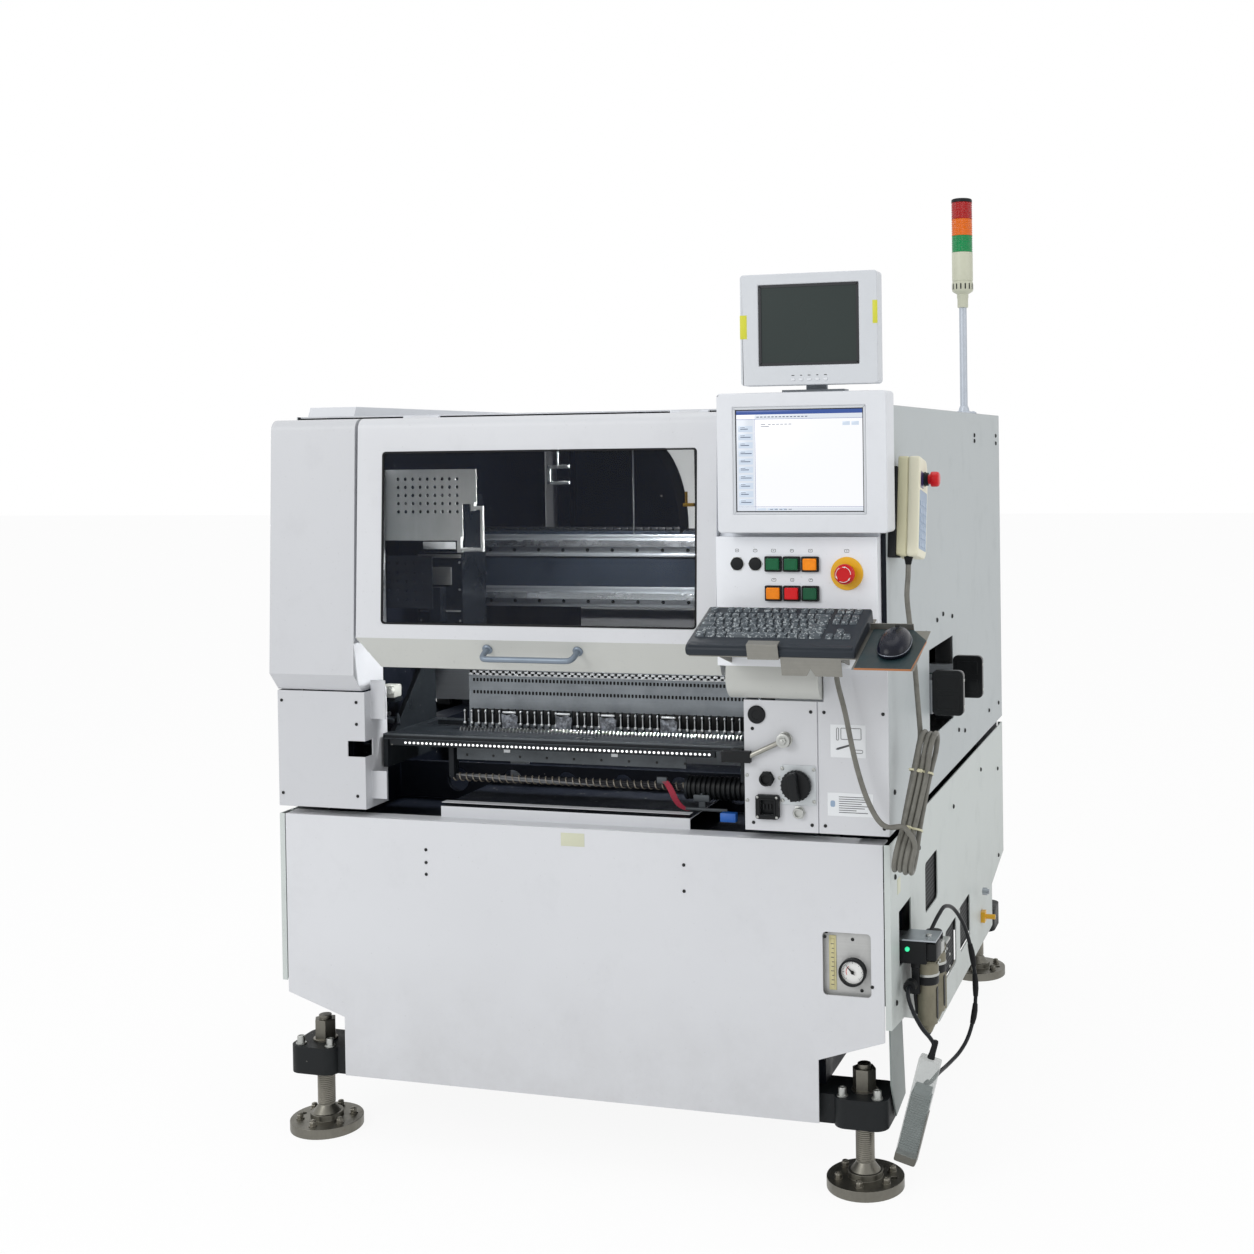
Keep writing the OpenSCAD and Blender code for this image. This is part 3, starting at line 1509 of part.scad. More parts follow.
// Stainless guard sheets on a post of the left wall
module perforated_guard() {
    sheet_x1 = -wall_in + 294;
    dark_x1 = -wall_in + 190;
    hole_pitch = 17;
    guard_y = -wall_y + 2;
    guard_z0 = wall_top + 112;
    guard_z1 = body_h - 114;
    hand_z0 = guard_z0 - 24;
    hand_z1 = guard_z0 + 76;
    color("#b9bcb8") {
        slab_y(guard_y, guard_y + sheet)
            difference() {
                polygon([
                    [-wall_in - 10, guard_z0], [sheet_x1 - 32, guard_z0], [sheet_x1 - 32, hand_z1],
                    [sheet_x1, hand_z1], [sheet_x1, guard_z1], [-wall_in - 10, guard_z1]
                ]);
                for (i = [0:8], j = [0:4])
                    translate([sheet_x1 - 44 - i * hole_pitch, guard_z1 - 20 - j * hole_pitch])
                        circle(4);
            }
        // Pull handle beside the sheet
        bar_x(sheet_x1 - 36, sheet_x1 + 16, guard_y - 6, hand_z0 + 6, 4);
        bar_x(sheet_x1 - 4, sheet_x1 + 16, guard_y - 6, hand_z1 - 8, 4);
        bar_z(sheet_x1 + 16, guard_y - 6, hand_z0 + 2, hand_z1 - 4, 4);
        block(sheet_x1 - 40, sheet_x1 - 32, guard_y - 10, guard_y, hand_z0, hand_z0 + 32);
        block(sheet_x1 - 8, sheet_x1, guard_y - 10, guard_y, hand_z1 - 14, hand_z1 + 4);
    }
    color("#2d3236")
        slab_y(guard_y, guard_y + sheet)
            difference() {
                translate([-wall_in, wall_top - 30])
                    square([dark_x1 + wall_in, 110]);
                for (i = [0:4], j = [0:4])
                    translate([dark_x1 - 20 - i * 20, wall_top - 12 + j * 19])
                        circle(3);
            }
}

// Cable bundle under the feeder shelf and the ribbed duct it runs into
module cable_bundle() {
    bundle_z = bank_z - 96;
    bundle_y = bank_y0 + 60;
    color("#8d867a")
        bar_x(bank_x0 + 124, bank_x1 - 138, bundle_y, bundle_z, 9);
    color("#17191b") {
        bar_x(bank_x1 - 138, right_cover_x + 60, bundle_y, bundle_z, 24);
        block(bank_x0 + 124, bank_x0 + 136, bundle_y - 12, bundle_y + 12, bundle_z, bank_z - 12);
        block(right_cover_x + 60, wall_in, bundle_y - 16, bundle_y + 16, bundle_z - 20, bundle_z + 20);
    }
}

base_frame();
levelling_feet();
foot_brackets();
front_lower_panel();
rear_lower_panel();
left_lower_panel();
right_lower_panel();
left_side_cover();
right_side_cover();
top_cover();
front_left_cover();
front_left_lower_cover();
console_housing();
right_lower_cover();
front_door();
front_window();
front_handle();
rear_door();
main_display();
vision_display();
display_mount();
signal_pole();
signal_red();
signal_amber();
signal_green();
button_1();
button_2();
button_3();
button_4();
button_5();
button_6();
panel_fittings();
emergency_stop();
main_switch();
keyboard_tray();
keyboard();
mouse();
pendant_holder();
pendant();
pendant_stop();
pendant_cord();
pendant_hank();
air_unit();
regulator_knob();
pressure_gauge();
gauge_needle();
air_leads();
hanging_case();
gantry_beam();
placement_head();
nozzle_1();
nozzle_2();
nozzle_3();
nozzle_4();
conveyor_front_rail();
conveyor_rear_rail();
feeder_bank();
bank_link();
perforated_guard();
cable_bundle();
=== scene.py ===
# A floor-standing placement machine: finishes, fittings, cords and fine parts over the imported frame.
import json
import math
import bmesh
import bpy
import numpy as np
from mathutils import Matrix, Vector


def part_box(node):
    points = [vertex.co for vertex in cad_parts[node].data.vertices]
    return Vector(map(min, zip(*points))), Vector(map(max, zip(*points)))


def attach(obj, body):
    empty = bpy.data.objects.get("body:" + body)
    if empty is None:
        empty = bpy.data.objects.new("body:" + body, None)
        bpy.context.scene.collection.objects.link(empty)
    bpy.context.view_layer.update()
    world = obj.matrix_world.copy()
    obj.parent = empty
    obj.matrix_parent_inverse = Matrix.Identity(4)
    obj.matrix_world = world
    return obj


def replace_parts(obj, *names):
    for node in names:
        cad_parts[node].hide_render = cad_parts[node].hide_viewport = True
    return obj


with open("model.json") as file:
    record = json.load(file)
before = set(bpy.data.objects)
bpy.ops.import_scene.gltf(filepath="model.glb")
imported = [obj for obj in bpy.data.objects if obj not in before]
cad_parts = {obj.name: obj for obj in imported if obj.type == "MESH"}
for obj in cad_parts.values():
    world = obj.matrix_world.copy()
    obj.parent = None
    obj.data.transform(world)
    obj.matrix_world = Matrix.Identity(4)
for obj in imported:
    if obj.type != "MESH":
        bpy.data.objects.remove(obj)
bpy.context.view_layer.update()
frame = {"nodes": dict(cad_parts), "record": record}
nodes = frame["nodes"]
bodies = {node: body for body, held in frame["record"]["behaviour"]["bodies"].items() for node in held}
mm = 0.001
print("frame loaded")


# Shader maths: a Wire is one output of a node, and plain arithmetic on it adds Math nodes
class Wire:
    def __init__(self, finish, socket):
        self.finish, self.socket = finish, socket

    def math(self, operation, first, second):
        return self.finish.node("ShaderNodeMath", {"operation": operation}, {0: first, 1: second})["Value"]

    def __add__(self, other): return self.math("ADD", self, other)
    def __radd__(self, other): return self.math("ADD", other, self)
    def __sub__(self, other): return self.math("SUBTRACT", self, other)
    def __rsub__(self, other): return self.math("SUBTRACT", other, self)
    def __mul__(self, other): return self.math("MULTIPLY", self, other)
    def __rmul__(self, other): return self.math("MULTIPLY", other, self)
    def __mod__(self, other): return self.math("FLOORED_MODULO", self, other)
    def __abs__(self): return self.math("ABSOLUTE", self, 0)


class Outlets:
    def __init__(self, finish, item):
        self.finish, self.item = finish, item

    def __getitem__(self, key):
        return Wire(self.finish, self.item.outputs[key])


class Finish:
    def __init__(self, name, **shader):
        self.material = bpy.data.materials.new(name)
        self.material.use_nodes = True
        self.tree = self.material.node_tree
        self.shader = self.tree.nodes["Principled BSDF"]
        self.place = self.node("ShaderNodeTexCoord", {}, {})["Object"]
        self.set(**shader)

    def feed(self, socket, value):
        if isinstance(value, Wire):
            self.tree.links.new(value.socket, socket)
        elif isinstance(value, (tuple, list)) and len(value) == 3 and socket.type == "RGBA":
            socket.default_value = (*value, 1)
        else:
            socket.default_value = value

    def set(self, **values):
        for name, value in values.items():
            label = "".join(" " + c if c.isupper() else c for c in name)
            self.feed(self.shader.inputs[label[0].upper() + label[1:]], value)
        return self

    def shine(self, level):
        self.shader.inputs["Specular IOR Level"].default_value = level
        return self

    def node(self, kind, settings, sockets):
        item = self.tree.nodes.new(kind)
        for key, value in settings.items():
            setattr(item, key, value)
        for key, value in sockets.items():
            self.feed(item.inputs[key], value)
        return Outlets(self, item)

    def noise(self, scale, detail=3, rough=0.5, at=None):
        return self.node("ShaderNodeTexNoise", {}, {"Vector": at or self.place, "Scale": scale,
                                                    "Detail": detail, "Roughness": rough})["Fac"]

    def stretched(self, x, y, z):
        return self.node("ShaderNodeMapping", {}, {"Vector": self.place, "Scale": (x, y, z)})["Vector"]

    def band(self, value, low, high):
        return self.node("ShaderNodeMapRange", {"clamp": True}, {"Value": value, "From Min": low,
                                                                 "From Max": high})["Result"]

    def blend(self, share, first, second):
        return self.node("ShaderNodeMix", {"data_type": "RGBA"}, {0: share, 6: first, 7: second})[2]

    def bump(self, height, strength=0.3, distance=0.001):
        return self.node("ShaderNodeBump", {}, {"Height": height, "Strength": strength,
                                                "Distance": distance})["Normal"]

    def axes(self):
        split = self.node("ShaderNodeSeparateXYZ", {}, {"Vector": self.place})
        return split["X"], split["Y"], split["Z"]


def tone(text, share=1.0):
    # a written screen colour as linear light, times a share
    c = np.array([int(text[i:i + 2], 16) / 255 for i in (1, 3, 5)])
    c = np.where(c <= 0.04045, c / 12.92, ((c + 0.055) / 1.055) ** 2.4) * share
    return tuple(float(v) for v in c)


def paint(name, colour, rough=0.4, mottle=0.05, dust=0.10, low=None):
    # powder coat: fine orange peel, slow changes of shade, wiped dust, and where asked a darkening towards the
    # floor
    f = Finish(name)
    cloud = f.noise(2.3, 4)
    smear = f.band(f.noise(11, 7, 0.68), 0.54, 0.78)
    specks = f.band(f.noise(160, 2, 0.4), 0.70, 0.76)
    peel = f.noise(1300, 2)
    base = f.blend(cloud, tone(colour, 1 - mottle), tone(colour, 1 + mottle))
    base = f.blend(smear * dust, base, tone(colour, 0.55))
    base = f.blend(specks * 0.10, base, tone("#5a564e"))
    # where low is given, patches darken towards the floor between the heights it names
    if low is not None:
        reach = f.band(f.axes()[2], low[1], low[0]) * f.band(f.noise(7, 6, 0.7), 0.25, 0.8)
        base = f.blend(reach * low[2], base, tone("#77726a"))
    return f.set(baseColor=base, roughness=rough + smear * 0.10 + peel * 0.05,
                 normal=f.bump(peel, 0.16, 0.0004))


def quiet(f, colour):
    # a dark skin takes a weaker shine, so that it stays dark in a white room
    return f.shine(0.2) if max(tone(colour)) < 0.06 else f


def plastic(name, colour, rough=0.45, grain=2200, depth=0.25, spread=0.06, coat=0.0):
    # moulded plastic: spark-eroded grain, faint finger marks
    f = Finish(name, coatWeight=coat)
    grainFac = f.noise(grain, 2)
    marks = f.band(f.noise(26, 5, 0.65), 0.5, 0.75)
    base = f.blend(f.noise(6, 3), tone(colour, 1 - spread), tone(colour, 1 + spread))
    base = f.blend(marks * 0.10, base, tone(colour, 0.7))
    f.set(baseColor=base, roughness=rough + marks * 0.10, normal=f.bump(grainFac, depth, 0.0003))
    return quiet(f, colour)


def metal(name, colour, rough=0.3, along=(8, 900, 900), stain=0.25, rust=0.0, metallic=1.0):
    # drawn or ground metal: fine lines one way, oily stains, a little rust where asked
    f = Finish(name)
    lines = f.noise(1.0, 3, 0.6, f.stretched(*along))
    stains = f.band(f.noise(17, 6, 0.7), 0.42, 0.75)
    base = f.blend(lines, tone(colour, 0.86), tone(colour, 1.08))
    base = f.blend(stains * stain, base, tone(colour, 0.5))
    share = 1.0
    if rust:
        spots = f.band(f.noise(60, 8, 0.75), 0.60, 0.68) * rust
        base = f.blend(spots, base, tone("#6b4a33"))
        share = 1 - spots * 0.8
    return f.set(baseColor=base, metallic=metallic * share, roughness=rough + lines * 0.12 + stains * 0.15,
                 normal=f.bump(lines, 0.12, 0.0003))


def castPaint(name, colour, rough=0.55):
    # painted iron casting: pitted skin, oily patches, bright nicks
    f = Finish(name)
    pits = f.noise(420, 5, 0.7)
    oil = f.band(f.noise(14, 5, 0.6), 0.45, 0.7)
    nicks = f.band(f.noise(95, 3, 0.4), 0.73, 0.76)
    base = f.blend(f.noise(9, 5), tone(colour, 0.75), tone(colour, 1.25))
    base = f.blend(oil * 0.4, base, tone(colour, 0.5))
    base = f.blend(nicks, base, tone("#8d8c86"))
    f.set(baseColor=base, metallic=nicks * 0.7, roughness=rough - oil * 0.2,
          normal=f.bump(pits, 0.45, 0.0009))
    return quiet(f, colour)


def lensPlastic(name, colour, pitch):
    # coloured lens with fine upright flutes inside
    f = Finish(name, coatWeight=0.15, transmissionWeight=0.12).shine(0.25)
    x, y, z = f.axes()
    turn = f.node("ShaderNodeMath", {"operation": "ARCTAN2"}, {0: y - lampAt[1], 1: x - lampAt[0]})["Value"]
    flute = abs((turn * pitch) % 1.0 - 0.5) * 2
    base = f.blend(flute, tone(colour, 0.55), tone(colour, 1.15))
    return f.set(baseColor=base, roughness=0.16 + f.noise(400, 2) * 0.06, emissionColor=tone(colour),
                 emissionStrength=0.08, normal=f.bump(flute, 0.5, 0.0012))


def glowing(name, colour, strength=0.92):
    # a lit patch of a screen: its light carries a fine raster
    f = Finish(name, roughness=0.25)
    raster = abs((f.axes()[2] * 1400) % 1.0 - 0.5) * 0.10
    shade = f.blend(raster, tone(colour), tone(colour, 0.8))
    return f.set(baseColor=f.blend(raster, tone(colour, 0.06), tone(colour, 0.03)), emissionColor=shade,
                 emissionStrength=strength)


def capPlastic(name, colour):
    # translucent cap: its shade varies at random, with a faint even glow of its lamp
    f = Finish(name, coatWeight=0.1).shine(0.25)
    return f.set(baseColor=f.blend(f.noise(160, 3), tone(colour, 0.85), tone(colour, 1.2)),
                 roughness=0.22 + f.noise(700, 2) * 0.08, emissionColor=tone(colour), emissionStrength=0.12)


# Shapes as whole arrays: points, four-sided faces and flat many-sided ends
def unit(v):
    # directions of length one
    return v / np.linalg.norm(v, axis=-1, keepdims=True)


def outward(points, quads, ends):
    # the signed volume under the faces tells which way round they run
    tris = [quads[:, [0, 1, 2]], quads[:, [0, 2, 3]]]
    tris += [np.stack([np.full(len(e) - 2, e[0]), e[1:-1], e[2:]], 1) for e in ends]
    t = points[np.vstack(tris)]
    if np.einsum("ij,ij->", t[:, 0], np.cross(t[:, 1], t[:, 2])) < 0:
        quads, ends = quads[:, ::-1], [e[::-1] for e in ends]
    return points, quads, ends


def loft(rings):
    # a skin through rings of equal count, closed by a flat face at each end
    index = np.arange(rings.shape[0] * rings.shape[1]).reshape(rings.shape[:2])
    a, b = index[:-1], index[1:]
    quads = np.stack([a, np.roll(a, -1, 1), np.roll(b, -1, 1), b], -1).reshape(-1, 4)
    return outward(rings.reshape(-1, 3), quads, [index[0], index[-1][::-1]])


def placed(u, v, w, axis):
    # u and v lie across the axis, w runs along it
    return np.stack({"x": (w, u, v), "y": (u, w, v), "z": (u, v, w)}[axis], -1)


def turned(profile, centre, axis="z", sides=36):
    # every (radius, height) pair of the profile becomes a ring round the axis
    p = np.asarray(profile, float)
    a = np.arange(sides) * 2 * math.pi / sides
    rings = placed(p[:, :1] * np.cos(a), p[:, :1] * np.sin(a), np.repeat(p[:, 1:], sides, 1), axis)
    return loft(rings * mm + np.asarray(centre, float) * mm)


def plate(outline, low, high, axis="y", edge=0.0, steps=3):
    # an outline thickened from low to high; both rims are rounded by a quarter circle of radius edge
    p = np.asarray(outline, float)
    run = unit(np.roll(p, -1, 0) - p)
    side = np.stack([-run[:, 1], run[:, 0]], -1)
    area = np.sum(p[:, 0] * np.roll(p[:, 1], -1) - p[:, 1] * np.roll(p[:, 0], -1))
    side *= np.sign(area)
    back = np.roll(side, 1, 0)
    inward = (side + back) / (1 + np.sum(side * back, -1, keepdims=True))
    t = np.linspace(0, math.pi / 2, steps) if edge else np.array([math.pi / 2])
    inset = edge * (1 - np.sin(t))
    rise = edge * (1 - np.cos(t))
    inset = np.concatenate([inset, inset[::-1]])
    height = np.concatenate([low + rise, high - rise[::-1]])
    flat = p[None] + inward[None] * inset[:, None, None]
    return loft(placed(flat[..., 0], flat[..., 1], np.repeat(height[:, None], len(p), 1), axis) * mm)


def band(outline, thick, low, high, axis="y"):
    # a closed strip: an outline and a smaller one inside it, joined into a frame
    p = np.asarray(outline, float)
    run = unit(np.roll(p, -1, 0) - p)
    side = np.stack([-run[:, 1], run[:, 0]], -1)
    side *= np.sign(np.sum(p[:, 0] * np.roll(p[:, 1], -1) - p[:, 1] * np.roll(p[:, 0], -1)))
    back = np.roll(side, 1, 0)
    q = p + thick * (side + back) / (1 + np.sum(side * back, -1, keepdims=True))
    w = np.ones(len(p))
    rings = np.stack([placed(c[:, 0], c[:, 1], h * w, axis)
                      for c, h in ((p, low), (p, high), (q, high), (q, low))])
    index = np.arange(4 * len(p)).reshape(4, len(p))
    next_ = np.roll(index, -1, 0)
    quads = np.stack([index, np.roll(index, -1, 1), np.roll(next_, -1, 1), next_], -1).reshape(-1, 4)
    return outward(rings.reshape(-1, 3) * mm, quads, [])


def roundRect(cx, cy, w, h, r, n=5):
    # a rectangle whose corners are quarter circles
    t = np.linspace(0, math.pi / 2, n)
    parts = [np.stack([cx + sx * (w / 2 - r) + r * np.cos(t + a), cy + sy * (h / 2 - r) + r * np.sin(t + a)],
                      -1)
             for sx, sy, a in ((1, 1, 0), (-1, 1, math.pi / 2), (-1, -1, math.pi), (1, -1, 1.5 * math.pi))]
    return np.vstack(parts)


def softened(outline, r):
    # every corner of an outline becomes a short curve
    p = np.asarray(outline, float)
    before, after = unit(np.roll(p, 1, 0) - p), unit(np.roll(p, -1, 0) - p)
    s = np.linspace(0, 1, 5)[None, :, None]
    a, b = p + before * r, p + after * r
    curve = (1 - s) ** 2 * a[:, None] + 2 * s * (1 - s) * p[:, None] + s * s * b[:, None]
    return curve.reshape(-1, 2)


def box(x0, x1, y0, y1, z0, z1, edge=0.8):
    # a cuboid between two corners with softened edges
    edge = min(edge, 0.45 * min(x1 - x0, y1 - y0, z1 - z0))
    outline = roundRect((x0 + x1) / 2, (y0 + y1) / 2, x1 - x0, y1 - y0, max(edge, 0.05), 3)
    return plate(outline, z0, z1, "z", edge)


def rod(start, end, radius, sides=16):
    # a straight round bar between two points
    a, b = np.asarray(start, float), np.asarray(end, float)
    along = unit(b - a)
    edge = radius * 0.12
    line = np.stack([a, a + along * edge, b - along * edge, b])
    return tube(line, np.array([radius - edge, radius, radius, radius - edge]), sides)


def tube(line, radius, sides=14):
    # rings square to the line, turned as little as possible from a fixed direction
    p = np.asarray(line, float)
    along = unit(np.vstack([p[1] - p[0], p[2:] - p[:-2], p[-1] - p[-2]]))
    across = unit(np.cross(along, np.array([0.31, 0.22, 1.0]) if abs(along[:, 2]).max() < 0.93
                           else np.array([1.0, 0.37, 0.11])))
    up = np.cross(along, across)
    a = np.arange(sides) * 2 * math.pi / sides
    r = np.broadcast_to(np.asarray(radius, float), len(p))[:, None, None]
    rings = p[:, None] + r * (across[:, None] * np.cos(a)[:, None] + up[:, None] * np.sin(a)[:, None])
    return loft(rings * mm)


def smoothLine(points, steps=3):
    # every span blends its four neighbouring points with cubic weights
    p = np.asarray(points, float)
    q = np.vstack([p[:1], p, p[-1:]])
    t = (np.arange(steps) / steps)[None, :, None]
    a, b, c, d = (q[i:len(q) - 3 + i, None] for i in range(4))
    line = 0.5 * (2 * b + (c - a) * t + (2 * a - 5 * b + 4 * c - d) * t * t + (3 * b - a - 3 * c + d) * t ** 3)
    return np.vstack([line.reshape(-1, 3), p[-1:]])


def lengthOf(path):
    return float(np.linalg.norm(np.diff(path, axis=0), axis=1).sum()) * mm


def joined(*shapes):
    # several shapes as one
    points, quads, ends, first = [], [], [], 0
    for p, q, e in shapes:
        points.append(p)
        quads.append(q + first)
        ends += [ring + first for ring in e]
        first += len(p)
    return np.vstack(points), np.vstack(quads), ends


def repeated(shape, offsets):
    # copies of one shape, each moved by an offset
    return joined(*[(shape[0] + np.asarray(o, float) * mm, shape[1], shape[2]) for o in offsets])


def flipped(shape):
    # the mirror image of a shape, front to back
    points, quads, ends = shape
    return points * [1, -1, 1], quads[:, ::-1], [ring[::-1] for ring in ends]


def swung(shape, matrix):
    # a shape moved by a matrix
    m = np.array(matrix)
    return shape[0] @ m[:3, :3].T + m[:3, 3], shape[1], shape[2]


def tagged(rows, low, high, edge=0.1):
    # thin upright rectangles from rows of left, right, bottom and top
    return joined(*[box(x0, x1, low, high, z0, z1, edge) for x0, x1, z0, z1 in rows])


def addPiece(name, shape, finish, body="frame", smooth=38):
    # one visible piece from a shape or a list of shapes
    points, quads, ends = joined(*shape) if isinstance(shape, list) else shape
    mesh = bpy.data.meshes.new(name)
    mesh.from_pydata(points.tolist(), [], quads.tolist() + [e.tolist() for e in ends])
    mesh.materials.append(finish.material)
    piece = bpy.data.objects.new(name, mesh)
    return settle(piece, body, smooth)


def settle(piece, body, smooth, bevel=0.0, segments=2):
    # into the scene and onto its body, shaded smooth between its sharp edges
    bpy.context.scene.collection.objects.link(piece)
    piece.data.shade_smooth()
    piece.data.set_sharp_from_angle(angle=math.radians(smooth))
    if bevel:
        rim = piece.modifiers.new("rim", "BEVEL")
        rim.width, rim.segments, rim.limit_method = bevel * mm, segments, "ANGLE"
        rim.angle_limit, rim.harden_normals, rim.use_clamp_overlap = math.radians(30), True, True
    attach(piece, body)
    return piece


def dressed(node, finish, bevel=1.0, segments=2, pick=None):
    # a merged copy of a frame part, its flat faces joined up and its edges eased
    mesh = nodes[node].data.copy()
    work = bmesh.new()
    work.from_mesh(mesh)
    bmesh.ops.remove_doubles(work, verts=work.verts, dist=2e-6)
    bmesh.ops.dissolve_limit(work, angle_limit=math.radians(0.6), verts=work.verts, edges=work.edges)
    work.to_mesh(mesh)
    work.free()
    mesh.materials.clear()
    finishes = finish if isinstance(finish, (list, tuple)) else [finish]
    for f in finishes:
        mesh.materials.append(f.material)
    if pick:
        for face in mesh.polygons:
            face.material_index = pick(face.center * 1000)
    else:
        mesh.polygons.foreach_set("material_index", np.zeros(len(mesh.polygons), np.int32))
    piece = bpy.data.objects.new(node + "_skin", mesh)
    settle(piece, bodies[node], 32, bevel, segments)
    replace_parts(piece, node)


def coat(finish, *names):
    # a frame part whose shape is right keeps it and takes a finish
    for name in names:
        for item in nodes[name].material_slots:
            item.material = finish.material


# Camera
camera = {"at": (1.3133, -3.6614, 1.4143), "yaw": 0.2711, "pitch": 0.0175, "roll": -0.0133,
          "lens": 46.7454545, "shift": (-0.14, -0.12), "sensor": 36, "clip": (0.05, 60)}
lens = bpy.data.cameras.new("camera")
lens.sensor_fit, lens.sensor_width, lens.lens = "HORIZONTAL", camera["sensor"], camera["lens"]
lens.shift_x, lens.shift_y = camera["shift"]
lens.clip_start, lens.clip_end = camera["clip"]
eye = bpy.data.objects.new("camera", lens)
bpy.context.scene.collection.objects.link(eye)
eye.matrix_world = (Matrix.Translation(camera["at"]) @ Matrix.Rotation(camera["yaw"], 4, "Z")
                    @ Matrix.Rotation(math.pi / 2 - camera["pitch"], 4, "X")
                    @ Matrix.Rotation(camera["roll"], 4, "Z"))
bpy.context.scene.camera = eye
print("camera set")


# Cords: the pendant's long lead with its tied hank, and the two leads of the air unit
pendantLead = {"radius": 5.0, "turns": 4, "pitch": 10.6, "waist": 6.6, "lobes": (25, 23.5, 26, 24.5),
               "low": (684, -716, 658), "high": (712, -650, 846), "ties": ((0.24, 17), (0.77, 14)),
               "lean": 10, "tieTone": "#c9c6a8"}
hankLow, hankHigh = (np.array(pendantLead[k], float) for k in ("low", "high"))
hankRun = hankHigh - hankLow
hankReach = float(np.linalg.norm(hankRun))
hankTurn = np.array(Matrix.Rotation(math.atan2(hankRun[0], hankRun[2]), 3, "Y")
                    @ Matrix.Rotation(-math.asin(hankRun[1] / hankReach), 3, "X"))


def onHank(local):
    return np.asarray(local, float) @ hankTurn.T + hankLow


def hankTurns():
    # each turn goes down behind, round the lower lobe, up in front and round the upper one
    s, r, w = pendantLead, hankReach, pendantLead["waist"]
    path = [(0, 5, r + 22), (0, 9, r), (0, 8, r - 30), (0, w, r - 62)]
    for k in range(s["turns"]):
        g = s["lobes"][k]
        path += [(k, w, r * 0.5), (k, w + 0.6, 66), (k, 0.55 * g, 38), (k, 0.95 * g, 12), (k, g, -6),
                 (k + 0.06, 0.72 * g, -6 - 0.70 * g), (k + 0.12, 0, -6 - g),
                 (k + 0.18, -0.72 * g, -6 - 0.70 * g), (k + 0.24, -g, -6), (k + 0.28, -0.95 * g, 12)]
        if k == s["turns"] - 1:
            break
        path += [(k + 0.34, -0.55 * g, 38), (k + 0.4, -w - 0.6, 66), (k + 0.5, -w, r * 0.5),
                 (k + 0.6, -w, r - 62), (k + 0.66, -0.55 * g, r - 34), (k + 0.72, -0.95 * g, r - 10),
                 (k + 0.76, -g, r + 4), (k + 0.82, -0.72 * g, r + 4 + 0.70 * g), (k + 0.88, 0, r + 4 + g),
                 (k + 0.94, 0.72 * g, r + 4 + 0.70 * g), (k + 0.97, g, r + 4), (k + 0.98, 0.95 * g, r - 10),
                 (k + 1, 0.55 * g, r - 34), (k + 1, w, r - 62)]
    path = np.array(path, float)
    path[:, 0] = (path[:, 0] - (s["turns"] - 1) / 2) * s["pitch"] - 1.2
    return onHank(path)


leanSin, leanCos = (way(math.radians(pendantLead["lean"])) for way in (math.sin, math.cos))
reliefEnd = (-630 - 24 * leanCos - 109 * leanSin, 1297 + 24 * leanSin - 109 * leanCos)
leadDown = [(686, reliefEnd[0], reliefEnd[1]),
            (686, reliefEnd[0] - 24 * leanSin, reliefEnd[1] - 24 * leanCos), (685, -684, 1136),
            (687, -678, 1096), (690, -668, 1050), (693, -658, 1000), (695, -650, 950), (697, -646, 910)]
leadCross = onHank([(14, -30, 26), (3, -37, 38), (-10, -38, 46)])
leadUp = [(658, -752, 716), (638, -748, 729), (618, -744, 764), (602, -742, 810), (590, -742, 860),
          (578, -741, 920), (566, -739, 965), (562, -739, 985), (562, -739, 996), (562, -739, 1007)]
pendantPath = smoothLine(np.vstack([leadDown, hankTurns(), leadCross, leadUp]), 4)


sheath = Finish("cord_sheath")
sheathWear = sheath.band(sheath.noise(70, 5, 0.65), 0.45, 0.75)
sheath.set(baseColor=sheath.blend(sheathWear * 0.5, tone("#6f6e67"), tone("#4c4b46")),
           roughness=0.46 + sheathWear * 0.2, normal=sheath.bump(sheath.noise(1500, 2), 0.12, 0.0003))
blackSheath = quiet(Finish("hose_sheath"), "#14171b")
hoseDust = blackSheath.band(blackSheath.noise(60, 5, 0.65), 0.5, 0.8)
blackSheath.set(baseColor=blackSheath.blend(hoseDust * 0.5, tone("#14171b"), tone("#33373b")),
                roughness=0.32 + hoseDust * 0.25,
                normal=blackSheath.bump(blackSheath.noise(900, 2), 0.1, 0.0003))
nylon = plastic("nylon_tie", pendantLead["tieTone"], 0.5, 900)

pendantCord = addPiece("pendant_lead", tube(pendantPath, pendantLead["radius"], 14), sheath, "frame", 60)
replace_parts(pendantCord, "pendant_cord", "pendant_hank")


def strapOn(share, halfY):
    # a flat strap round the bundle, square to the hank
    z = hankReach * share
    strap = band(roundRect(-1.2, 0, 4 * pendantLead["pitch"] + 3.4, 2 * halfY, 6), 1.1, z - 1.9, z + 1.9, "z")
    lock = box(-6, 3, halfY - 0.4, halfY + 4, z - 3.2, z + 3.2, 0.8)
    tail = box(2, 5, halfY, halfY + 16, z - 1.8, z + 1.8, 0.5)
    points, quads, ends = joined(strap, flipped(lock), flipped(tail))
    return onHank(points / mm) * mm, quads, ends


ties = addPiece("hank_ties", [strapOn(*tie) for tie in pendantLead["ties"]], nylon)

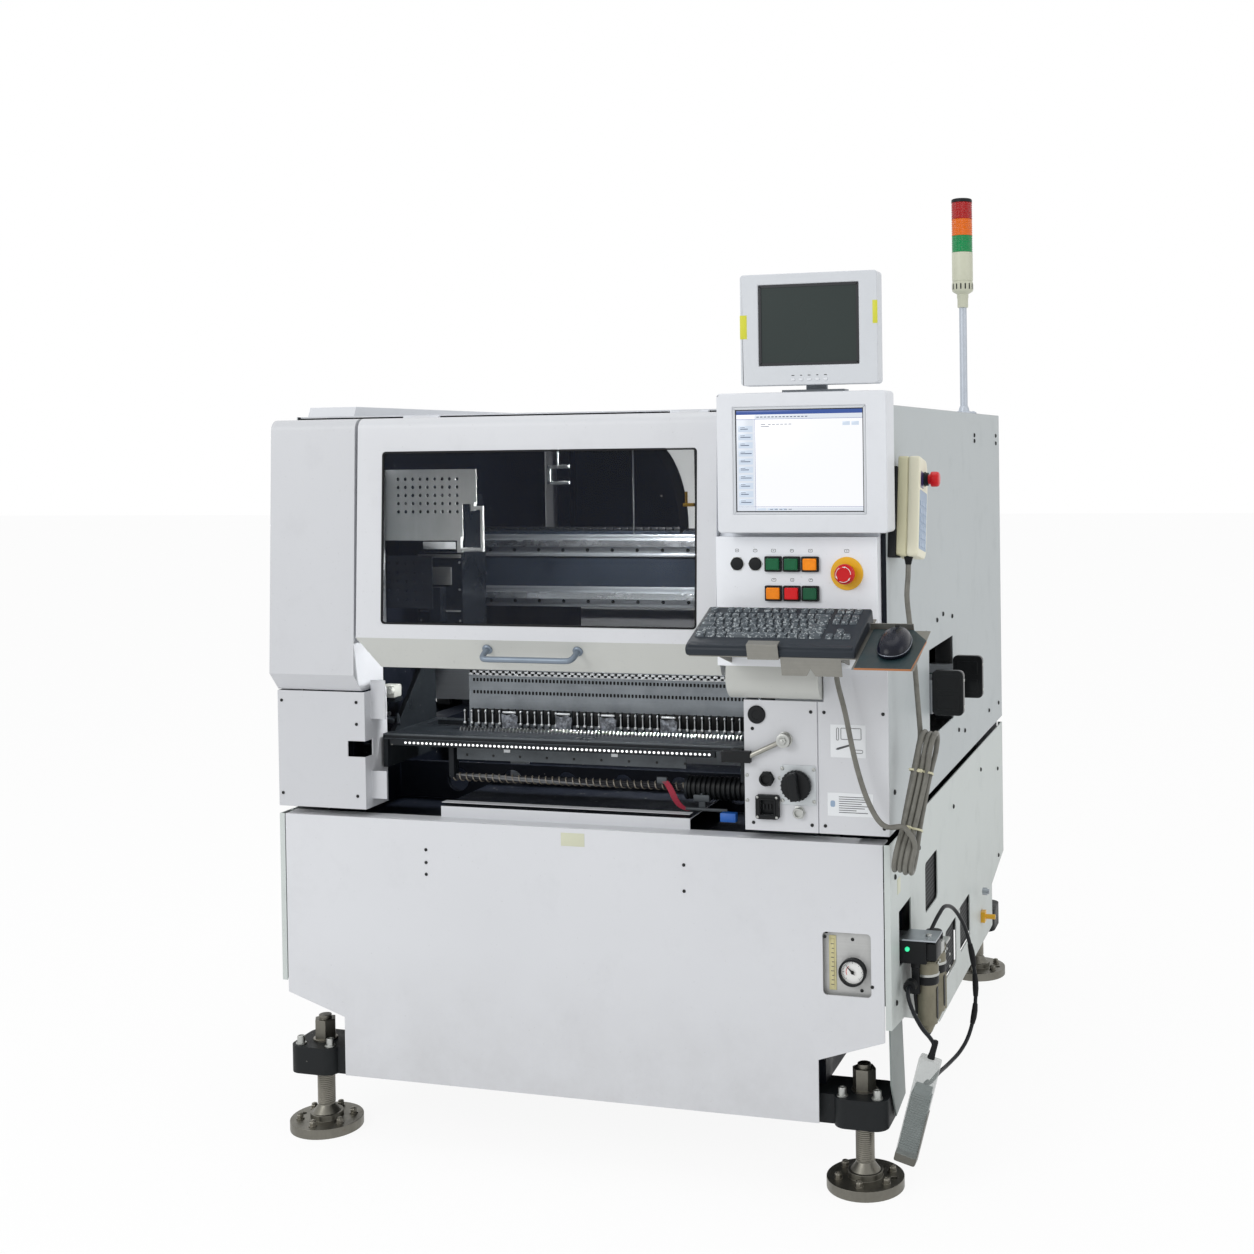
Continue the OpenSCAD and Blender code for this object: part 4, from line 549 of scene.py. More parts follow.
airLeads = {"radius": 4.0,
            "loop": [(690, -558, 456), (692, -546, 461), (698, -526, 476), (704, -504, 489), (710, -472, 496),
                     (720, -430, 480), (734, -392, 436), (744, -366, 376), (750, -358, 312), (750, -370, 256),
                     (742, -396, 214), (730, -430, 192), (716, -480, 184), (706, -540, 186), (702, -595, 190),
                     (700, -625, 197), (700, -648.8, 200)],
            "bowl": [(672, -644, 386), (672, -656, 386), (676, -672, 376), (686, -678, 352), (702, -676, 322),
                     (716, -669, 302), (722, -664, 286), (715.8, -664, 261.3)]}
loopPath, bowlPath = (smoothLine(airLeads[k], 4) for k in ("loop", "bowl"))
airLoop = addPiece("air_lead_loop", tube(loopPath, airLeads["radius"], 12), blackSheath, "frame", 60)
bowlLead = addPiece("air_lead_short", tube(bowlPath, airLeads["radius"], 12), blackSheath, "frame", 60)
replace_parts(airLoop, "air_leads")
print("cords laid")


# Room: pale floor, white surround for what the camera, mirrors and glass see, soft lamps for the rest
room = {"fill": 0.68, "floorReach": 30, "floorShare": 0.92,
        "lamps": (("key", (-2.6, -5.2, 3.6), (0, -0.4, 0.9), 3.2, 105),
                  ("side", (5.0, -1.2, 2.6), (0.3, 0, 0.8), 3.0, 30),
                  ("top", (0.2, -0.4, 5.2), (0, 0, 1.2), 3.6, 40),
                  ("inner", (0.05, -0.52, 1.42), (-0.1, -0.3, 1.0), 0.12, 12))}
world = bpy.data.worlds.new("room")
bpy.context.scene.world = world
world.use_nodes = True
sky = world.node_tree
rays = sky.nodes.new("ShaderNodeLightPath")
sees = rays.outputs["Is Camera Ray"]
for ray in ("Is Transmission Ray", "Is Glossy Ray"):
    either = sky.nodes.new("ShaderNodeMath")
    either.operation = "MAXIMUM"
    sky.links.new(sees, either.inputs[0])
    sky.links.new(rays.outputs[ray], either.inputs[1])
    sees = either.outputs[0]
glow = sky.nodes["Background"]
level = sky.nodes.new("ShaderNodeMapRange")
sky.links.new(sees, level.inputs["Value"])
level.inputs["To Min"].default_value = room["fill"]
level.inputs["To Max"].default_value = 1.0
sky.links.new(level.outputs[0], glow.inputs["Strength"])
glow.inputs["Color"].default_value = (1, 1, 1, 1)

floorTone = Finish("studio_floor", roughness=0.9)
floorTone.set(baseColor=tone("#fafafa"))
lightPath = floorTone.node("ShaderNodeLightPath", {}, {})
seen = lightPath["Is Camera Ray"] + lightPath["Is Glossy Ray"] + lightPath["Is Transmission Ray"]
white = floorTone.node("ShaderNodeEmission", {}, {"Color": (1, 1, 1), "Strength": 1.0})["Emission"]
mixed = floorTone.node("ShaderNodeMixShader", {},
                       {0: seen * room["floorShare"],
                        1: Wire(floorTone, floorTone.shader.outputs[0]), 2: white})
floorTone.tree.links.new(mixed[0].socket, floorTone.tree.nodes["Material Output"].inputs["Surface"])
floorMesh = bpy.data.meshes.new("floor")
reach = room["floorReach"]
floorMesh.from_pydata([(x * reach, y * reach, -0.0005) for x, y in ((-1, -1), (1, -1), (1, 1), (-1, 1))], [],
                      [(0, 1, 2, 3)])
floorMesh.materials.append(floorTone.material)
ground = bpy.data.objects.new("floor", floorMesh)
bpy.context.scene.collection.objects.link(ground)

for name, at, toward, size, power in room["lamps"]:
    data = bpy.data.lights.new(name, "AREA")
    data.shape, data.size, data.energy = "DISK", size, power
    item = bpy.data.objects.new(name, data)
    item.location = at
    item.rotation_euler = (Vector(toward) - Vector(at)).to_track_quat("-Z", "Y").to_euler()
    bpy.context.scene.collection.objects.link(item)
bpy.context.scene.view_settings.view_transform = "Standard"
print("room lit")


# Covers: merged copies of the sheet metal with eased edges, in shades of powder coat; some shades are painted
# light and painted shade, and inner faces take painted shade
coverLight = paint("cover_paint", "#ced0d4", 0.38)
# the left covers: a darker copy of the cover paint, painted shade
leftCoverShaded = paint("left_cover_painted_shade", "#c4c6ca", 0.38)
# a lighter copy of the cover paint for the console: painted light that makes up for the display's shadow
consolePaintedLight = paint("console_painted_light", "#eef1f6", 0.38)
# the chins face the floor: this darker copy of the cover paint is painted shade
chinPaintedShade = paint("chin_painted_shade", "#bfc1bd", 0.38)
coverLow = paint("lower_panel_paint", "#d2d4d8", 0.40, low=(0.13, 0.42, 0.22))
# the side covers: a darker grey-green copy, partly their own tint and partly painted shade of the sides turned
# from the lamps
sideToneAndShade = paint("side_tone_and_shade", "#b1b8ba", 0.42)
sideLow = paint("side_lower_paint", "#c4cbc9", 0.42, low=(0.17, 0.5, 0.3), dust=0.16)
screenGrey = paint("screen_sheet_paint", "#7b8482", 0.42, dust=0.16)
roofPaint = paint("roof_paint", "#d2d5da", 0.42, dust=0.16)
iron = castPaint("casting_paint", "#1a1d1f")
# black paint of the frame, also laid on inner faces of the covers as painted shade
frameBlackAndShade = castPaint("frame_black_and_inner_shade", "#0e131d", 0.6)
zinc = metal("bright_zinc", "#b9bbb8", 0.32, stain=0.2)
blackPlastic = plastic("black_plastic", "#17191b", 0.42)
rubber = plastic("black_rubber", "#141517", 0.6, 1200, 0.2)
# near-black for slots and gaps: painted shade of recesses
recessShade = Finish("painted_recess_shade", roughness=0.8)
recessShade.set(baseColor=recessShade.blend(recessShade.noise(40, 4), tone("#050606"), tone("#101214")))

# the left covers wear the darker copy as painted shade
dressed("front_left_lower_cover", leftCoverShaded, 1.3)
dressed("right_lower_cover", coverLight, 1.3)
# the console wears the painted light; its faces below the top take the chin's painted shade
dressed("console_housing", [consolePaintedLight, chinPaintedShade], 1.3, pick=lambda c: int(c.z < 1002))
# the door's chin, below its window, takes the painted shade
dressed("front_door", [coverLight, chinPaintedShade], 1.3, pick=lambda c: int(c.z < 1040 and c.y < -690))
dressed("front_left_cover", leftCoverShaded, 4.5, segments=4)
# the sheet behind the front ledge takes the black paint as painted shade
dressed("front_lower_panel", [coverLow, frameBlackAndShade], 1.2, pick=lambda c: int(c.y > -640 and c.z > 690))
# the roof's underside takes the black paint as painted shade
dressed("top_cover", [roofPaint, frameBlackAndShade], 0.8,
        pick=lambda c: int(c.z < 1491.8 and math.hypot(c.x, c.y) < 60))
# the side covers wear the side tone; their inner faces take the black paint as painted shade
for name in ("left_side_cover", "right_side_cover"):
    dressed(name, [sideToneAndShade, frameBlackAndShade], 1.0, pick=lambda c: int(abs(c.x) < 647.8))
for name in ("left_lower_panel", "right_lower_panel"):
    # the narrow sheet beside the foot bracket is bare grey
    dressed(name, [sideLow, screenGrey], 1.0,
            pick=lambda c: int(640 < c.x < 644.6 and c.y < -550 and c.z < 330))
# the rear door's inner face takes the black paint as painted shade
dressed("rear_door", [coverLight, frameBlackAndShade], 1.3, pick=lambda c: int(712 < c.y < 714.4))
dressed("rear_lower_panel", coverLow, 1.0)
coat(frameBlackAndShade, "base_frame")
dressed("foot_brackets", [iron, zinc], 5.0, segments=3, pick=lambda c: int(c.z > 184.5))
print("covers painted")


# Small fasteners, each one shape repeated over a list of places
screws = {"face": [(-313, -700, 610), (-313, -700, 584), (-313, -700, 560), (241, -700, 610),
                   (241, -700, 559), (-466, -700, 905), (-466, -700, 860), (-466, -700, 712),
                   (-640, -700, 905), (-640, -700, 712), (384, -700, 880), (384, -700, 700), (500, -700, 700),
                   (526, -700, 700), (500, -700, 915), (526, -700, 915), (640, -700, 915), (640, -700, 700),
                   (613, -700, 400), (522, -700, 490)],
          "side": [(650, -655, 1440), (650, -655, 1425), (650, -560, 1290), (650, -560, 1275),
                   (650, -420, 1330), (650, -330, 1330), (650, -330, 1316), (650, 640, 1440),
                   (650, 640, 1420), (650, -520, 1010), (650, -330, 1025), (650, -210, 1040),
                   (650, -140, 1046), (650, -30, 1030), (650, 40, 760), (650, 120, 745), (650, 640, 730),
                   (650, 610, 560), (650, -40, 600), (650, 610, 330), (650, -655, 760), (650, -655, 1000),
                   (650, 300, 1440), (650, 300, 1426), (650, 480, 735), (650, -430, 600), (650, 340, 610),
                   (650, -660, 600), (650, -660, 360)]}
boltDark = metal("black_screw", "#3a3b3b", 0.36, stain=0.3)


def screwHead(radius, height, axis, way):
    # a pan head with a hexagon socket sunk in it
    rim = [(radius, 0), (radius, 0.45 * height), (0.82 * radius, 0.85 * height), (0.6 * radius, height),
           (0.42 * radius, height), (0.40 * radius, 0.35 * height)]
    return turned([(r, way * h) for r, h in rim], (0, 0, 0), axis, 12)


frontScrews = repeated(screwHead(3.4, 1.8, "y", -1), screws["face"])
sideScrews = repeated(screwHead(5.2, 3.2, "x", 1), screws["side"])
leftScrews = repeated(screwHead(5.2, 3.2, "x", -1), [(-x, y, z) for x, y, z in screws["side"]])
rearPlaces = [(s * x, 700, z) for s in (-1, 1)
              for x, z in ((600, 930), (600, 700), (600, 360), (0, 930), (0, 170), (300, 930))]
rearScrews = repeated(screwHead(4.2, 2.2, "y", 1), rearPlaces)
addPiece("cover_screws", [frontScrews, sideScrews, leftScrews, rearScrews], boltDark)


# Side vents with a fine dark mesh behind them
vents = {"places": [(-303, 500), (-88, 294), (96, 298)], "size": (140, 110), "wiresPerMetre": 110}
mesh = Finish("vent_mesh")
acrossCell, upCell = ((way * vents["wiresPerMetre"]) % 1.0 - 0.5 for way in mesh.axes()[1:])
meshHole = mesh.band(acrossCell * acrossCell + upCell * upCell, 0.16, 0.12)
mesh.set(baseColor=mesh.blend(meshHole, tone("#2a2e30"), tone("#050506")), roughness=0.6 + meshHole * 0.3,
         metallic=(1 - meshHole) * 0.5, normal=mesh.bump(1 - meshHole, 0.6, 0.001))
addPiece("vent_sheets", [plate(roundRect(y, z, *vents["size"], 10), 641.5, 643.5, "x", 0.4)
                         for y, z in vents["places"]], mesh)

# Dark linings inside the side openings
linings = [box(x, x + 36.5, y0, y1, 792, 992) for x in (610, -646.5)
           for y0, y1 in ((-305, -292.5), (-27.5, -14))]
addPiece("opening_linings", linings, blackPlastic)
print("fasteners and vents placed")


# Door: smoked pane with its rubber seal, and the pull with its two feet
smoke = Finish("smoked_pane").shine(0.22)
wipe = smoke.band(smoke.noise(6, 6, 0.7, smoke.stretched(1, 1, 0.4)), 0.5, 0.8)
smoke.set(baseColor=smoke.blend(wipe, tone("#060c1a"), tone("#111a2b")), alpha=0.33 + wipe * 0.05,
          roughness=0.035 + wipe * 0.05)
coat(smoke, "front_window")
seal = {"width": 3.2, "proud": (-0.6, 3.4), "inset": 17, "topY": -705, "topZ": 1464, "slant": 22 / 422}
windowLow, windowHigh = (np.array(corner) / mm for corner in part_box("front_window"))
sealX, sealZ = ((windowLow + windowHigh) / 2)[[0, 2]]
sealWidth, sealHeight = (windowHigh - windowLow - seal["inset"])[[0, 2]]
opening = roundRect(sealX, sealZ, sealWidth, sealHeight, 8)
sealPoints, sealQuads, sealEnds = band(opening, seal["width"], *seal["proud"], "y")
sealPoints[:, 1] += (seal["topY"] + (sealPoints[:, 2] / mm - seal["topZ"]) * seal["slant"]) * mm
addPiece("window_seal", (sealPoints, sealQuads, sealEnds), rubber, "door")

pullPaint = metal("satin_handle", "#7f8b98", 0.34, along=(6, 700, 700), stain=0.15, metallic=0.55)
chinTilt = math.atan2(31, 63)
pullAt = np.array([-62.5, -727 + 31 * 0.3, 1042 - 63 * 0.3])
outY, outZ = -math.cos(chinTilt), -math.sin(chinTilt)
bow = [(97, 0), (97, 20), (94, 31), (84, 36), (40, 36)]
bow = [(-x, h) for x, h in bow] + bow[::-1]
bowPath = smoothLine([pullAt + [x, outY * h, outZ * h] for x, h in bow], 5)
pullFoot = flipped(turned([(10.5, 0.2), (10.5, 2.4), (8.5, 3.6), (7.4, 5.0)], (0, 0, 0), "y", 28))
pullShapes = [tube(bowPath, 5.9, 18)]
for x in (-97, 97):
    footAt = Matrix.Translation(Vector((pullAt + [x, 0, 0]) * mm)) @ Matrix.Rotation(chinTilt, 4, "X")
    pullShapes.append(swung(pullFoot, footAt))
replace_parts(addPiece("door_pull", pullShapes, pullPaint, "door", 50), "front_handle")
print("door finished")


# Signal tower
tower = {"at": (600, 450), "from": 1906, "lensHeight": 42,
         "lenses": (("signal_green", "#049452"), ("signal_amber", "#ee7304"), ("signal_red", "#b50e0e"))}
tx, ty = tower["at"]
lampAt = (tx * mm, ty * mm)
towerBeige = plastic("tower_case", "#c4c6b2", 0.4, 1500, 0.12)
polePaint = metal("pole_steel", "#b9c0c9", 0.35, along=(500, 500, 6), stain=0.1, metallic=0.4)
poleParts = [turned([(32, 1494.2), (32, 1498), (30, 1500.5), (14, 1503), (12.5, 1510), (10, 1516)],
                    (tx, ty, 0), "z", 40),
             turned([(9.5, 1505), (9.5, 1772)], (tx, ty, 0), "z", 28),
             repeated(screwHead(3.6, 2.6, "z", 1),
                      [(tx + 24 * c, ty + 24 * s, 1500)
                       for c, s in ((1, 0), (-0.5, 0.87), (-0.5, -0.87))])]
caseProfile = [(13, 1766), (13.6, 1768), (13.6, 1788), (14.6, 1791), (14.6, 1800), (24.6, 1806),
               (26.5, 1808.5), (26.5, 1830), (25.4, 1831), (25.4, 1833), (26.5, 1834), (26.5, 1903.5),
               (25.6, 1905.8)]
addPiece("tower_pole", poleParts, polePaint)
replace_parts(addPiece("tower_case", turned(caseProfile, (tx, ty, 0), "z", 56), towerBeige), "signal_pole")
slotShape = plate(roundRect(0, 0, 3.4, 15, 1.6, 3), 0, 1.0, "y", 0.2)
slots = [swung(slotShape, Matrix.Translation((tx * mm, ty * mm, 1.819)) @ Matrix.Rotation(a, 4, "Z")
               @ Matrix.Translation((0, -0.0269, 0))) for a in np.linspace(-2.6, 2.6, 13)]
# the tower's slots are dark plates: painted shade
addPiece("tower_slots", slots, recessShade)
addPiece("tower_cap", turned([(26.3, 2032.2), (26.3, 2038), (25, 2040.5), (22, 2041.7), (5, 2041.9)],
                             (tx, ty, 0), "z", 56), blackPlastic)
for index, (node, shade) in enumerate(tower["lenses"]):
    z0 = tower["from"] + index * tower["lensHeight"]
    ribs = [(25.9, z0 + 0.1), (26.3, z0 + 0.8)]
    for k in range(7):
        z = z0 + 2.4 + k * 5.6
        ribs += [(26.3, z), (25.5, z + 0.9), (25.5, z + 3.0), (26.3, z + 3.9)]
    ribs += [(26.3, z0 + 41.0), (25.7, z0 + 41.8)]
    lensFinish = lensPlastic(node + "_plastic", shade, 9)
    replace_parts(addPiece(node + "_lens", turned(ribs, (tx, ty, 0), "z", 64), lensFinish, "frame", 30), node)
print("tower finished")


# Displays: moulded cases, sunk screens with a plain program window, keys under the small one
caseWhite = plastic("display_case_plastic", "#dcdfe4", 0.42, 1700, 0.14, 0.03)
caseGrey = plastic("small_case_plastic", "#cdd1d6", 0.42, 1700, 0.14, 0.03)
mainDisplay = {"front": -765, "screen": (501, 1391.5, 255, 200), "lit": (243, 188)}
rimGlass = Finish("screen_border", roughness=0.25)
rimGlass.set(baseColor=rimGlass.blend(rimGlass.noise(30, 4), tone("#101216"), tone("#1c1f26")))
dressed("main_display", caseWhite, 2.6, segments=3)
sx, sz, sw, sh = mainDisplay["screen"]
litWidth, litHeight = mainDisplay["lit"]
front = mainDisplay["front"]
ly = front + 4.8
addPiece("main_bezel", band(roundRect(sx, sz, sw - 0.4, sh - 0.4, 3), 4.2, front + 1.6, front + 5.8, "y"),
         caseGrey)
addPiece("main_border", band(roundRect(sx, sz, sw - 8, sh - 8, 1), 2.4, front + 4.0, front + 5.9, "y"),
         rimGlass)


screenWhite = glowing("screen_white", "#fbfcff")
screenBlue = glowing("screen_blue", "#cfdcec")
screenGrey = glowing("screen_grey", "#dfe5ee")
screenInk = glowing("screen_ink", "#4c5872")
screenNavy = glowing("screen_navy", "#2c4f9a")


def patches(rows, y, thick=0.12):
    # flat rectangles standing just proud of the screen: left, bottom, width, height in screen millimetres
    x0, z0 = sx - litWidth / 2, sz - litHeight / 2
    return joined(*[box(x0 + a, x0 + a + w, y - thick, y, z0 + b, z0 + b + h, 0.05) for a, b, w, h in rows])


addPiece("main_screen", patches([(0, 0, litWidth, litHeight)], ly, 0.6), screenWhite)
addPiece("screen_bars", patches([(0, 180, 243, 8), (0, 171, 243, 0.7), (36, 0, 0.7, 171), (0, 8, 243, 0.6)],
                                ly - 0.6), screenNavy)
leftKeys = [(4, 148 - k * 15.2, 28, 11.4) for k in range(10)]
addPiece("screen_keys", patches([(0, 0, 35, 171), (36, 172, 207, 7.6), (0, 0, 243, 7)], ly - 0.6), screenGrey)
otherKeys = [(40, 1.6, 16, 4), (60, 1.6, 20, 4), (84, 1.6, 12, 4), (205, 158, 14, 7), (222, 158, 14, 7)]
addPiece("screen_key_faces", patches(leftKeys + otherKeys, ly - 0.75), screenBlue)
inkRows = [(40 + i * 7.2, 174.6, 4.6, 1.6) for i in range(14)]
inkRows += [(48, 161 - (i % 2) * 4, 9 + (i * 7) % 8, 1.1) for i in range(2)]
inkRows += [(62 + i * 8, 161, 5.5, 1.1) for i in range(6)]
inkRows += [(8, 152.6 - k * 15.2, 15 + (k * 5) % 8, 1.5) for k in range(10)]
inkRows += [(8, 155.8 - k * 15.2, 9, 0.9) for k in range(10)] + [(64 + i * 9, 3, 6, 1.2) for i in range(5)]
addPiece("screen_marks", patches(inkRows, ly - 0.85), screenInk)

dressed("vision_display", caseGrey, 2.4, segments=3)
smallX, smallZ = 523, 1642
# switched-off screen: its slow sheen and its faint glow are painted reflection of the pale room
offScreenAndReflection = Finish("dark_screen_painted_reflection").shine(0.25)
paintedSheen = offScreenAndReflection.noise(3.2, 3)
offScreenAndReflection.set(baseColor=offScreenAndReflection.blend(paintedSheen, tone("#1d2524"), tone("#242c2b")),
             roughness=0.22 + paintedSheen * 0.1, emissionColor=tone("#333c3a"), emissionStrength=0.3)
addPiece("small_bezel", band(roundRect(smallX, smallZ, 191.5, 149.5, 3), 5, -764.8, -762.2, "y"),
         rimGlass, "vision")
addPiece("small_screen", plate(roundRect(smallX, smallZ, 183, 141, 2), -763.3, -762.1, "y", 0.3),
         offScreenAndReflection, "vision")
smallKeys = [plate(roundRect(smallX - 30 + k * 15.5, 1541, 7.5, 4.2, 1.6, 4), -768.6, -766.5, "y", 0.5)
             for k in range(5)]
addPiece("small_display_keys", smallKeys, caseWhite, "vision")
keyMarks = [plate(roundRect(smallX - 30 + k * 15.5, 1548.5, 5.5 - (k % 2) * 1.6, 1.3, 0.5, 3), -767.35,
                  -766.8, "y") for k in range(5)]
addPiece("small_display_marks", keyMarks, rubber, "vision")
tape = plastic("yellow_tape", "#cfcf3a", 0.5, 700, 0.1)
tapes = joined(box(388.6, 405, -767.35, -766.9, 1618, 1662, 0.1),
               box(645, 654.3, -767.35, -766.9, 1640, 1682, 0.1),
               box(391.7, 392.1, -766.9, -742, 1618, 1662, 0.1))
tapes = (np.clip(tapes[0], [0.3917, -1, 0], [0.6543, 1, 3]), tapes[1], tapes[2])
addPiece("tape_patches", tapes, tape, "vision")
dressed("display_mount", paint("bracket_paint", "#8f959b", 0.4), 1.0)
print("displays finished")


# Operating panel: lit buttons in black frames, plugs, emergency stop
panel = {"y": -727, "x": (439, 475, 511), "z": (1197, 1142), "cap": (26, 22),
         "tones": ("#085a36", "#085a36", "#f08a0a", "#ee860a", "#d21219", "#085233")}


frameParts = []
for n in range(6):
    bx, bz = panel["x"][n % 3], panel["z"][n // 3]
    frameParts.append(band(roundRect(bx, bz, 33, 29, 2.4), 3.1, panel["y"] - 6, panel["y"] - 0.05, "y"))
    w, h = panel["cap"]
    cap = plate(roundRect(bx, bz, w - 0.3, h - 0.3, 2.2), panel["y"] - 11, panel["y"] - 3.6, "y", 1.2, 4)
    window = band(roundRect(bx, bz, w - 5, h - 5, 1.6), 0.7, panel["y"] - 11.4, panel["y"] - 10.8, "y")
    capFinish = capPlastic(f"button_plastic_{n + 1}", panel["tones"][n])
    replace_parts(addPiece(f"button_cap_{n + 1}", [cap, window], capFinish, f"button_{n + 1}_cap"),
                f"button_{n + 1}")
plugs = [turned([(12.5, -0.1), (12.5, -2.2), (10.8, -3.9), (4, -4.4)], (x, -727, 1197), "y", 32)
         for x in (367, 403)]
nutRings = [turned([(14.5, -0.05), (14.5, -1.3), (13.6, -1.7)], (x, -727, 1197), "y", 6) for x in (367, 403)]
addPiece("button_frames", frameParts + plugs, blackPlastic)
addPiece("plug_rings", nutRings, zinc)
icons = []
iconPlaces = [(x, 1222) for x in (367, 403, 439, 475, 511)]
iconPlaces += [(x, 1167) for x in (439, 475, 511)] + [(581, 1222)]
for n, (ix, iz) in enumerate(iconPlaces):
    icons.append(band(roundRect(ix, iz, 7 + n % 3, 6, 1.2 + (n % 2), 4), 0.7, -727.3, -726.9, "y"))
    icons.append(box(ix - 1.6, ix + 1.6, -727.3, -726.9, iz - 0.5 + n % 2, iz + 0.4 + n % 2, 0.1))
labelInk = plastic("label_ink", "#4b4d50", 0.5)
addPiece("button_symbols", icons, labelInk)

yellowDisc = plastic("yellow_plastic", "#efb811", 0.4, 1500, 0.12)
stopRed = plastic("stop_plastic", "#cf0d18", 0.28, 1500, 0.06, coat=0.1).shine(0.25)
ex, ez = 581, 1180
discShape = joined(turned([(31, -0.05), (31, -2.2), (30.3, -3), (17, -3.1)], (ex, -727, ez), "y", 64),
                   band(roundRect(ex, ez, 33, 33, 16.4, 9), 3.2, -735, -729.9, "y"))
addPiece("stop_disc", discShape, yellowDisc)
headShape = turned([(11.8, -8.6), (12.1, -13), (17.5, -13.1), (19, -14.4), (19.1, -20), (18.2, -24.5),
                    (15.5, -28), (12.5, -29.4), (11.6, -29.4), (11.0, -28.7),
                    (5, -28.5)], (ex, -727, ez), "y", 56)
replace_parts(addPiece("stop_head_cap", headShape, stopRed, "stop_head"), "emergency_stop")


def arrowRing(radius, count, y, size):
    # bent arrows round a centre, each a short arc with a pointed head
    parts = []
    for k in range(count):
        a0 = 2 * math.pi * k / count
        t = a0 + np.linspace(0, 1.3, 6)
        inner, outer = radius - size * 0.3, radius + size * 0.3
        tip = a0 + 1.3
        outline = [(inner * math.cos(q), inner * math.sin(q)) for q in t]
        outline += [((radius - size) * math.cos(tip), (radius - size) * math.sin(tip)),
                    (radius * math.cos(tip + 0.45), radius * math.sin(tip + 0.45)),
                    ((radius + size) * math.cos(tip), (radius + size) * math.sin(tip))]
        outline += [(outer * math.cos(q), outer * math.sin(q)) for q in t[::-1]]
        parts.append(plate([(ex + u, ez + w) for u, w in outline], y, y + 0.5, "y"))
    return joined(*parts)


whiteMark = plastic("white_print", "#e9e6e2", 0.4)
addPiece("stop_arrows", arrowRing(14.2, 3, -756.6, 1.6), whiteMark, "stop_head", 20)
print("operating panel finished")


# Lower right cover: plug, link, connector, main switch, socket, plain label plates
fit = {"plug": (393, 907), "connector": (412, 785), "switch": (471, 775), "socket": (414, 732),
       "port": (475, 723)}
px, pz = fit["plug"]
fittings = [turned([(17.5, -0.05), (17.5, -2.2), (15.6, -4), (9, -4.3), (8.4, -3.4), (3, -3.3)],
                   (px, -700, pz), "y", 40)]
cx, cz = fit["connector"]
fittings += [turned([(14, -0.05), (14, -4), (13, -5), (13, -11), (11.8, -12), (9.4, -12), (9.2, -6),
                     (2, -5.8)], (cx, -700, cz), "y", 28)]
fittings += [turned([(15.6, -0.05), (15.6, -2.6), (14.4, -3.2)], (cx, -700, cz), "y", 6)]
kx, kz = fit["socket"]
fittings += [band(roundRect(kx, kz, 46, 46, 5), 7, -710, -700.05, "y"),
             box(kx - 15, kx + 15, -702.5, -700.05, kz - 15, kz + 15),
             band(roundRect(kx, kz, 33, 33, 3), 2.4, -712, -709, "y")]
fittings += [box(kx - 9 + 7 * k, kx - 6 + 7 * k, -707, -702.4, kz - 5, kz + 5, 0.4) for k in range(3)]
qx, qz = fit["port"]
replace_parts(addPiece("cover_fittings", fittings, blackPlastic), "panel_fittings")
portParts = joined(turned([(13, -0.05), (13, -1.6), (12, -2)], (qx, -700, qz), "y", 6),
                   turned([(10.4, -1.9), (10.4, -9), (9.4, -10), (7.4, -10), (7.2, -4), (2, -3.8)],
                          (qx, -700, qz), "y", 28),
                   repeated(screwHead(2.8, 1.6, "y", -1),
                            [(kx + a, -710, kz + b) for a in (-19, 19) for b in (-19, 19)]))
addPiece("port_metal", portParts, zinc)
greyPlate = metal("switch_plate", "#c3c8cb", 0.36, stain=0.1, metallic=0.5)
addPiece("switch_plate", plate(roundRect(474, 775, 70, 76, 4), -702, -700.05, "y", 0.5), greyPlate)
hx, hz = fit["switch"]
knobAt = Matrix.Translation((hx * mm, -0.7, hz * mm))
knob = turned([(28.5, -2.4), (29, -4), (29, -10), (27.5, -13), (22, -14.4), (6, -14.8)],
              (hx, -700, hz), "y", 56)
grip = swung(plate([(-8, -25), (8, -25), (8.5, 22), (5, 27), (-5, 27), (-8.5, 22)], -34, -13.6, "y", 2.2, 4),
             knobAt @ Matrix.Rotation(math.radians(-8), 4, "Y"))
teeth = [swung(box(28.2, 29.8, -12, -4.5, -1.4, 1.4, 0.5), knobAt @ Matrix.Rotation(a, 4, "Y"))
         for a in np.arange(24) * math.pi / 12]
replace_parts(addPiece("main_switch_knob", [knob, grip, *teeth], blackPlastic, "switch_knob"), "main_switch")
plainLabel = paint("plain_label", "#e2e5e8", 0.3, mottle=0.02, dust=0.03)
paleLabel = paint("pale_label", "#c9cbb4", 0.35, mottle=0.03)
addPiece("plain_labels", tagged([(531, 619, 720, 764), (538, 606, 831, 893)], -700.5, -699.9), plainLabel)
addPiece("pale_labels", [box(-16, 34, -700.5, -699.9, 634, 660, 0.1),
                         box(650, 650.5, -640, -612, 560, 590, 0.1)], paleLabel)
print("lower fittings placed")


# Link rod with an eye on its stud, and the black clamp block at its end
rodSteel = metal("link_steel", "#a6a59d", 0.28, stain=0.35)
dressed("bank_link", [rodSteel, blackPlastic], 0.8, pick=lambda c: int(c.x < 383.5 and c.z < 838.5))


